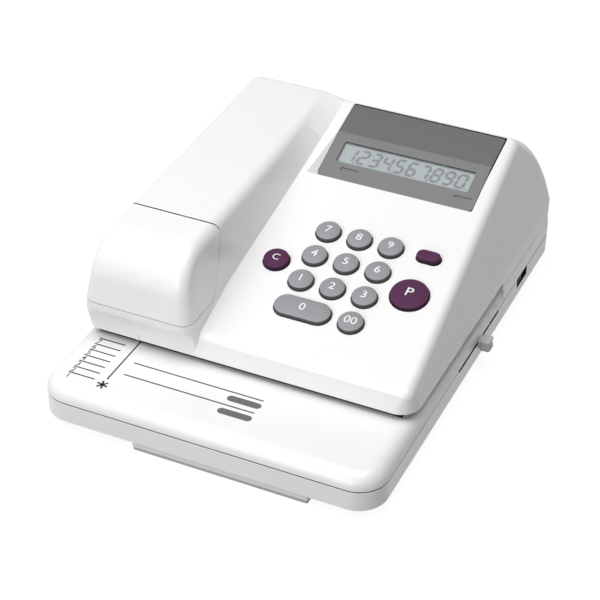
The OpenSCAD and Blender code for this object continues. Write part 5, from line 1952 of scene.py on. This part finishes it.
@dataclass
class SideControls(Assembly):
    """The stop lever's knob, the power switch and the marks beside them.

    Attributes:
        mark_ys: The places of the marks from front to back.
        mark_up: How far round the bed's edge they lie, in degrees above the side.
        knob_rim: The rounding of the knob's rims.
        groove_out: How far outside the knob the axis of its finger groove lies.
        rib_h: How far the slider's ribs stand out.
    """

    mark_ys: tuple[float, ...] = (40.5, 28.7, 17.3, 6.2, -5.1, -16.9)
    mark_w: float = 0.8
    mark_h: float = 3.2
    mark_up: float = 35.0
    mark_thick: float = 0.04
    knob_rim: float = 1.2
    knob_r: float = 1.6
    knob_play: float = 0.4
    groove_out: float = 4.2
    groove_r: float = 5.2
    rib_h: float = 0.7
    rib_half: float = 0.35
    rib_count: int = 4
    bed_edge: float = 8.5

    def build_knob(self) -> None:
        """Makes the knob: a rounded block with a finger groove and a plate behind it."""
        a, b = span("lever_knob")
        rim, play = self.knob_rim, self.knob_play
        head = slab(a + Vector((rim, 0, 0)), b, self.knob_r, 4, top=rim, bottom=rim)
        x, z = b.x + self.groove_out, (a.z + b.z) / 2
        head = combine(head, rod((x, a.y - OVER, z), (x, b.y + OVER, z), self.groove_r))
        plate = slab((a.x, a.y + play, a.z + rim), (a.x + self.knob_r, b.y - play, b.z - rim),
                     0.5, 3)
        made = combine(head, plate, how=Cut.JOIN)
        piece("stop_knob", made, [self.finishes.knob], "check_stop_body", ["lever_knob"])

    def build_switch(self) -> None:
        """Makes the power switch's slider, with ribs for a finger."""
        a, b = span("switch_knob")
        body = slab(a, b - Vector((self.rib_h, 0, 0)), 0.3, 2)
        ribs, half = [], self.rib_half
        for i in range(self.rib_count):
            y = a.y + 1 + i * (b.y - a.y - 2) / (self.rib_count - 1)
            ribs.append(block((b.x - 1.0, y - half, a.z + SEAT), (b.x, y + half, b.z - SEAT)))
        piece("power_slider", combine(body, *ribs, how=Cut.JOIN), [self.finishes.black],
              "power_switch_body", ["switch_knob"])

    def build_marks(self) -> None:
        """Makes the pale scale marks above the stop's slot."""
        marks = []
        edge = shift(self.levels.half - self.bed_edge, 0, self.levels.bed - self.bed_edge)
        edge = edge @ Matrix.Rotation(-math.radians(self.mark_up), 4, "Y")
        for y in self.mark_ys:
            mark = block((-2 * PLAY, y - self.mark_w / 2, -self.mark_h / 2),
                         (self.mark_thick, y + self.mark_w / 2, self.mark_h / 2))
            marks.append(moved(mark, edge @ shift(self.bed_edge, 0, 0)))
        piece("side_marks", join(*marks), [self.finishes.legend])

    def build(self) -> None:
        """Makes the controls and marks."""
        self.build_knob()
        self.build_switch()
        self.build_marks()


# --- pieces kept from the frame


def dress_nodes(finishes: Finishes) -> None:
    """Gives the pieces that keep their own shape a finish."""
    worn = (
        (finishes.shell, ("battery_cover",)),
        (finishes.cell, ("battery_cells",)),
        # The bottom plate's dark also stands for the shade in the throat
        (finishes.throat, ("head_bottom_plate",)),
        (finishes.window, ("display_window",)),
        (finishes.board, ("key_board", "main_board")),
        (finishes.mat, ("key_mat",)),
        (finishes.type_steel, ("type_wheel",)),
        (finishes.ink, ("ink_roller",)),
        (finishes.coil, ("hammer_coil",)),
        (finishes.liner, ("feed_bearings",)),
        (finishes.black, ("switch_body", "adapter_jack")),
        (finishes.roller, ("feed_roller", "pinch_roller")),
        (finishes.gear, ("type_gear", "idler_gear", "motor_pinion", "feed_gear",
                         "feed_pinion")),
        (finishes.turned, ("cover_hinge_pin", "frame_spacers", "type_shaft", "idler_pin",
                           "ink_roller_axle")),
        (finishes.steel, ("battery_contacts", "frame_left_plate", "frame_right_plate",
                          "select_motor", "hammer_yoke", "hammer_plunger", "feed_shaft",
                          "feed_motor", "pinch_bracket", "stop_slide", "case_screws")),
    )
    for material, names in worn:
        for node in (frame["nodes"][name] for name in names):
            if not node.material_slots:
                node.data.materials.append(material)
            for one in node.material_slots:
                one.material = material
        log.info("%s: %s", material.name, ", ".join(names))


# --- studio


def toward(azimuth: float, elevation: float) -> Vector:
    """The way out at an angle round from the front and one above the horizon, in degrees."""
    a, e = math.radians(azimuth), math.radians(elevation)
    return Vector((math.sin(a) * math.cos(e), -math.cos(a) * math.cos(e), math.sin(e)))


@dataclass(frozen=True)
class Viewpoint:
    """The photograph's viewpoint.

    Attributes:
        azimuth: Degrees round to the right from straight ahead.
        elevation: Degrees above the horizon.
        roll: Degrees that the camera leans.
        distance: How far it stands from what it looks at, in metres.
        focal_px: Its focal length in pixels of the picture.
        picture_px: The picture's width in pixels.
        target: What it looks at, in metres.
    """

    azimuth: float = 24.08
    elevation: float = 35.06
    roll: float = -0.89
    distance: float = 1.01354
    focal_px: float = 1801.22
    picture_px: float = 600.0
    target: tuple[float, float, float] = (0.00486, -0.02558, 0.0413)
    sensor_mm: float = 36.0

    def place_camera(self) -> None:
        """Makes the camera and sets it as the scene's."""
        a, r = math.radians(self.azimuth), math.radians(self.roll)
        back = toward(self.azimuth, self.elevation)
        right = Vector((math.cos(a), math.sin(a), 0))
        up = back.cross(right)
        across = math.cos(r) * right - math.sin(r) * up
        upward = math.sin(r) * right + math.cos(r) * up
        data = bpy.data.cameras.new("camera")
        data.sensor_width = self.sensor_mm
        data.lens = self.focal_px * self.sensor_mm / self.picture_px
        data.clip_start, data.clip_end = 0.05, 20.0
        camera = placed("camera", data)
        camera.matrix_world = (shift(*(ASIDE + Vector(self.target) + back * self.distance))
                               @ Matrix((across, upward, back)).transposed().to_4x4())
        bpy.context.scene.camera = camera


@dataclass(frozen=True)
class Softbox:
    """A square area light.

    Attributes:
        name: Its name.
        azimuth: Degrees round to the right from straight ahead.
        elevation: Degrees above the horizon.
        distance: How far it is from the object, in metres.
        side: The length of its side, in metres.
        power: Its power, in watts.
    """

    name: str
    azimuth: float
    elevation: float
    distance: float
    side: float
    power: float

    def hang(self) -> None:
        """Makes the light and points it at the object."""
        back = toward(self.azimuth, self.elevation)
        data = bpy.data.lights.new(self.name, "AREA")
        data.shape = "SQUARE"
        data.size = self.side
        data.energy = self.power
        turn = back.to_track_quat("Z", "Y").to_matrix().to_4x4()
        placed(self.name, data).matrix_world = shift(*(back * self.distance)) @ turn


@dataclass
class Studio:
    """A white floor, a soft white world and three softboxes."""

    ambient: float = 0.11
    boxes: tuple[Softbox, ...] = (
        Softbox("key_light", -48.0, 52.0, 1.3, 0.9, 7.0),
        Softbox("top_light", 25.0, 80.0, 1.3, 1.0, 10.5),
        Softbox("front_light", -6.0, 18.0, 1.5, 0.8, 6.0),
    )
    floor_side: float = 12.0
    floor_glow: float = 0.93
    floor_colour: tuple[float, float, float] = (0.13, 0.13, 0.13)
    floor_bounce: tuple[float, float, float] = (0.32, 0.32, 0.32)

    def show(self, tree: Tree, hidden: Node, shown: Node, output: str) -> None:
        """Gives a tree two shaders, by the kind of ray.

        Args:
            tree: The world's or the material's tree.
            hidden: The shader that lights the object.
            shown: The one for rays of the camera, of a reflection or through glass.
            output: The name of the tree's output node.
        """
        path = tree.nodes.new("ShaderNodeLightPath")
        seen = Wire(tree, path.outputs["Is Camera Ray"])
        for name in ("Is Glossy Ray", "Is Transmission Ray"):
            seen = seen + Wire(tree, path.outputs[name])
        mixed = tree.nodes.new("ShaderNodeMixShader")
        made = (seen.clamped(), Wire(tree, hidden.outputs[0]), Wire(tree, shown.outputs[0]))
        for socket, wire in zip(mixed.inputs, made):
            plug(tree, socket, wire)
        tree.links.new(mixed.outputs[0], tree.nodes[output].inputs["Surface"])

    def build_world(self) -> None:
        """Makes the world: a soft white that shows as plain white."""
        world = bpy.data.worlds.new("white_room")
        world.use_nodes = True
        tree = world.node_tree
        hidden, shown = tree.nodes["Background"], tree.nodes.new("ShaderNodeBackground")
        for node, strength in ((hidden, self.ambient), (shown, 1.0)):
            node.inputs["Color"].default_value = (1, 1, 1, 1)
            node.inputs["Strength"].default_value = strength
        self.show(tree, hidden, shown, "World Output")
        bpy.context.scene.world = world

    def build_floor(self) -> None:
        """Makes the floor, which shows as white with the object's shadow."""
        mesh = bmesh.new()
        bmesh.ops.create_grid(mesh, x_segments=1, y_segments=1, size=self.floor_side / 2)
        floor = placed("floor", baked("floor", mesh))
        paint = Paint("white_floor")
        paint.set(Base_Color=(*self.floor_bounce, 1), Roughness=0.9, Specular_IOR_Level=0.0)
        shadow = paint.node("ShaderNodeBsdfDiffuse", Color=(*self.floor_colour, 1))
        glow = paint.node("ShaderNodeEmission", Strength=self.floor_glow)
        added = paint.node("ShaderNodeAddShader")
        for socket, node in zip(added.inputs, (shadow, glow)):
            plug(paint.tree, socket, paint.out(node))
        self.show(paint.tree, paint.shader, added, "Material Output")
        floor.data.materials.append(paint.material)

    def build(self) -> None:
        """Makes the studio."""
        self.build_world()
        self.build_floor()
        for box in self.boxes:
            box.hang()
        bpy.context.scene.view_settings.view_transform = "Standard"


# --- assembly


def clear_start() -> None:
    """Removes the cube, camera and lamp that an empty file starts with."""
    for name in ("Cube", "Camera", "Light"):
        if name in bpy.data.objects:
            bpy.data.objects.remove(bpy.data.objects[name])


def main() -> None:
    """Builds the machine's looks and the studio round it."""
    logging.basicConfig(level=logging.INFO, format="%(name)s: %(message)s")
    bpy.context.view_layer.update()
    clear_start()
    Viewpoint().place_camera()
    finishes = Finishes()
    levels = Levels()
    Base(levels, finishes).build()
    BedPrint(levels, finishes).build()
    display = Display(levels, finishes)
    head = Head(levels, finishes)
    head.build_shell(display)
    head.build_cover()
    head.build_pointers()
    display.build()
    Keypad(levels, finishes).build()
    SideControls(levels, finishes).build()
    dress_nodes(finishes)
    Studio().build()


if __name__ == "__main__":
    main()
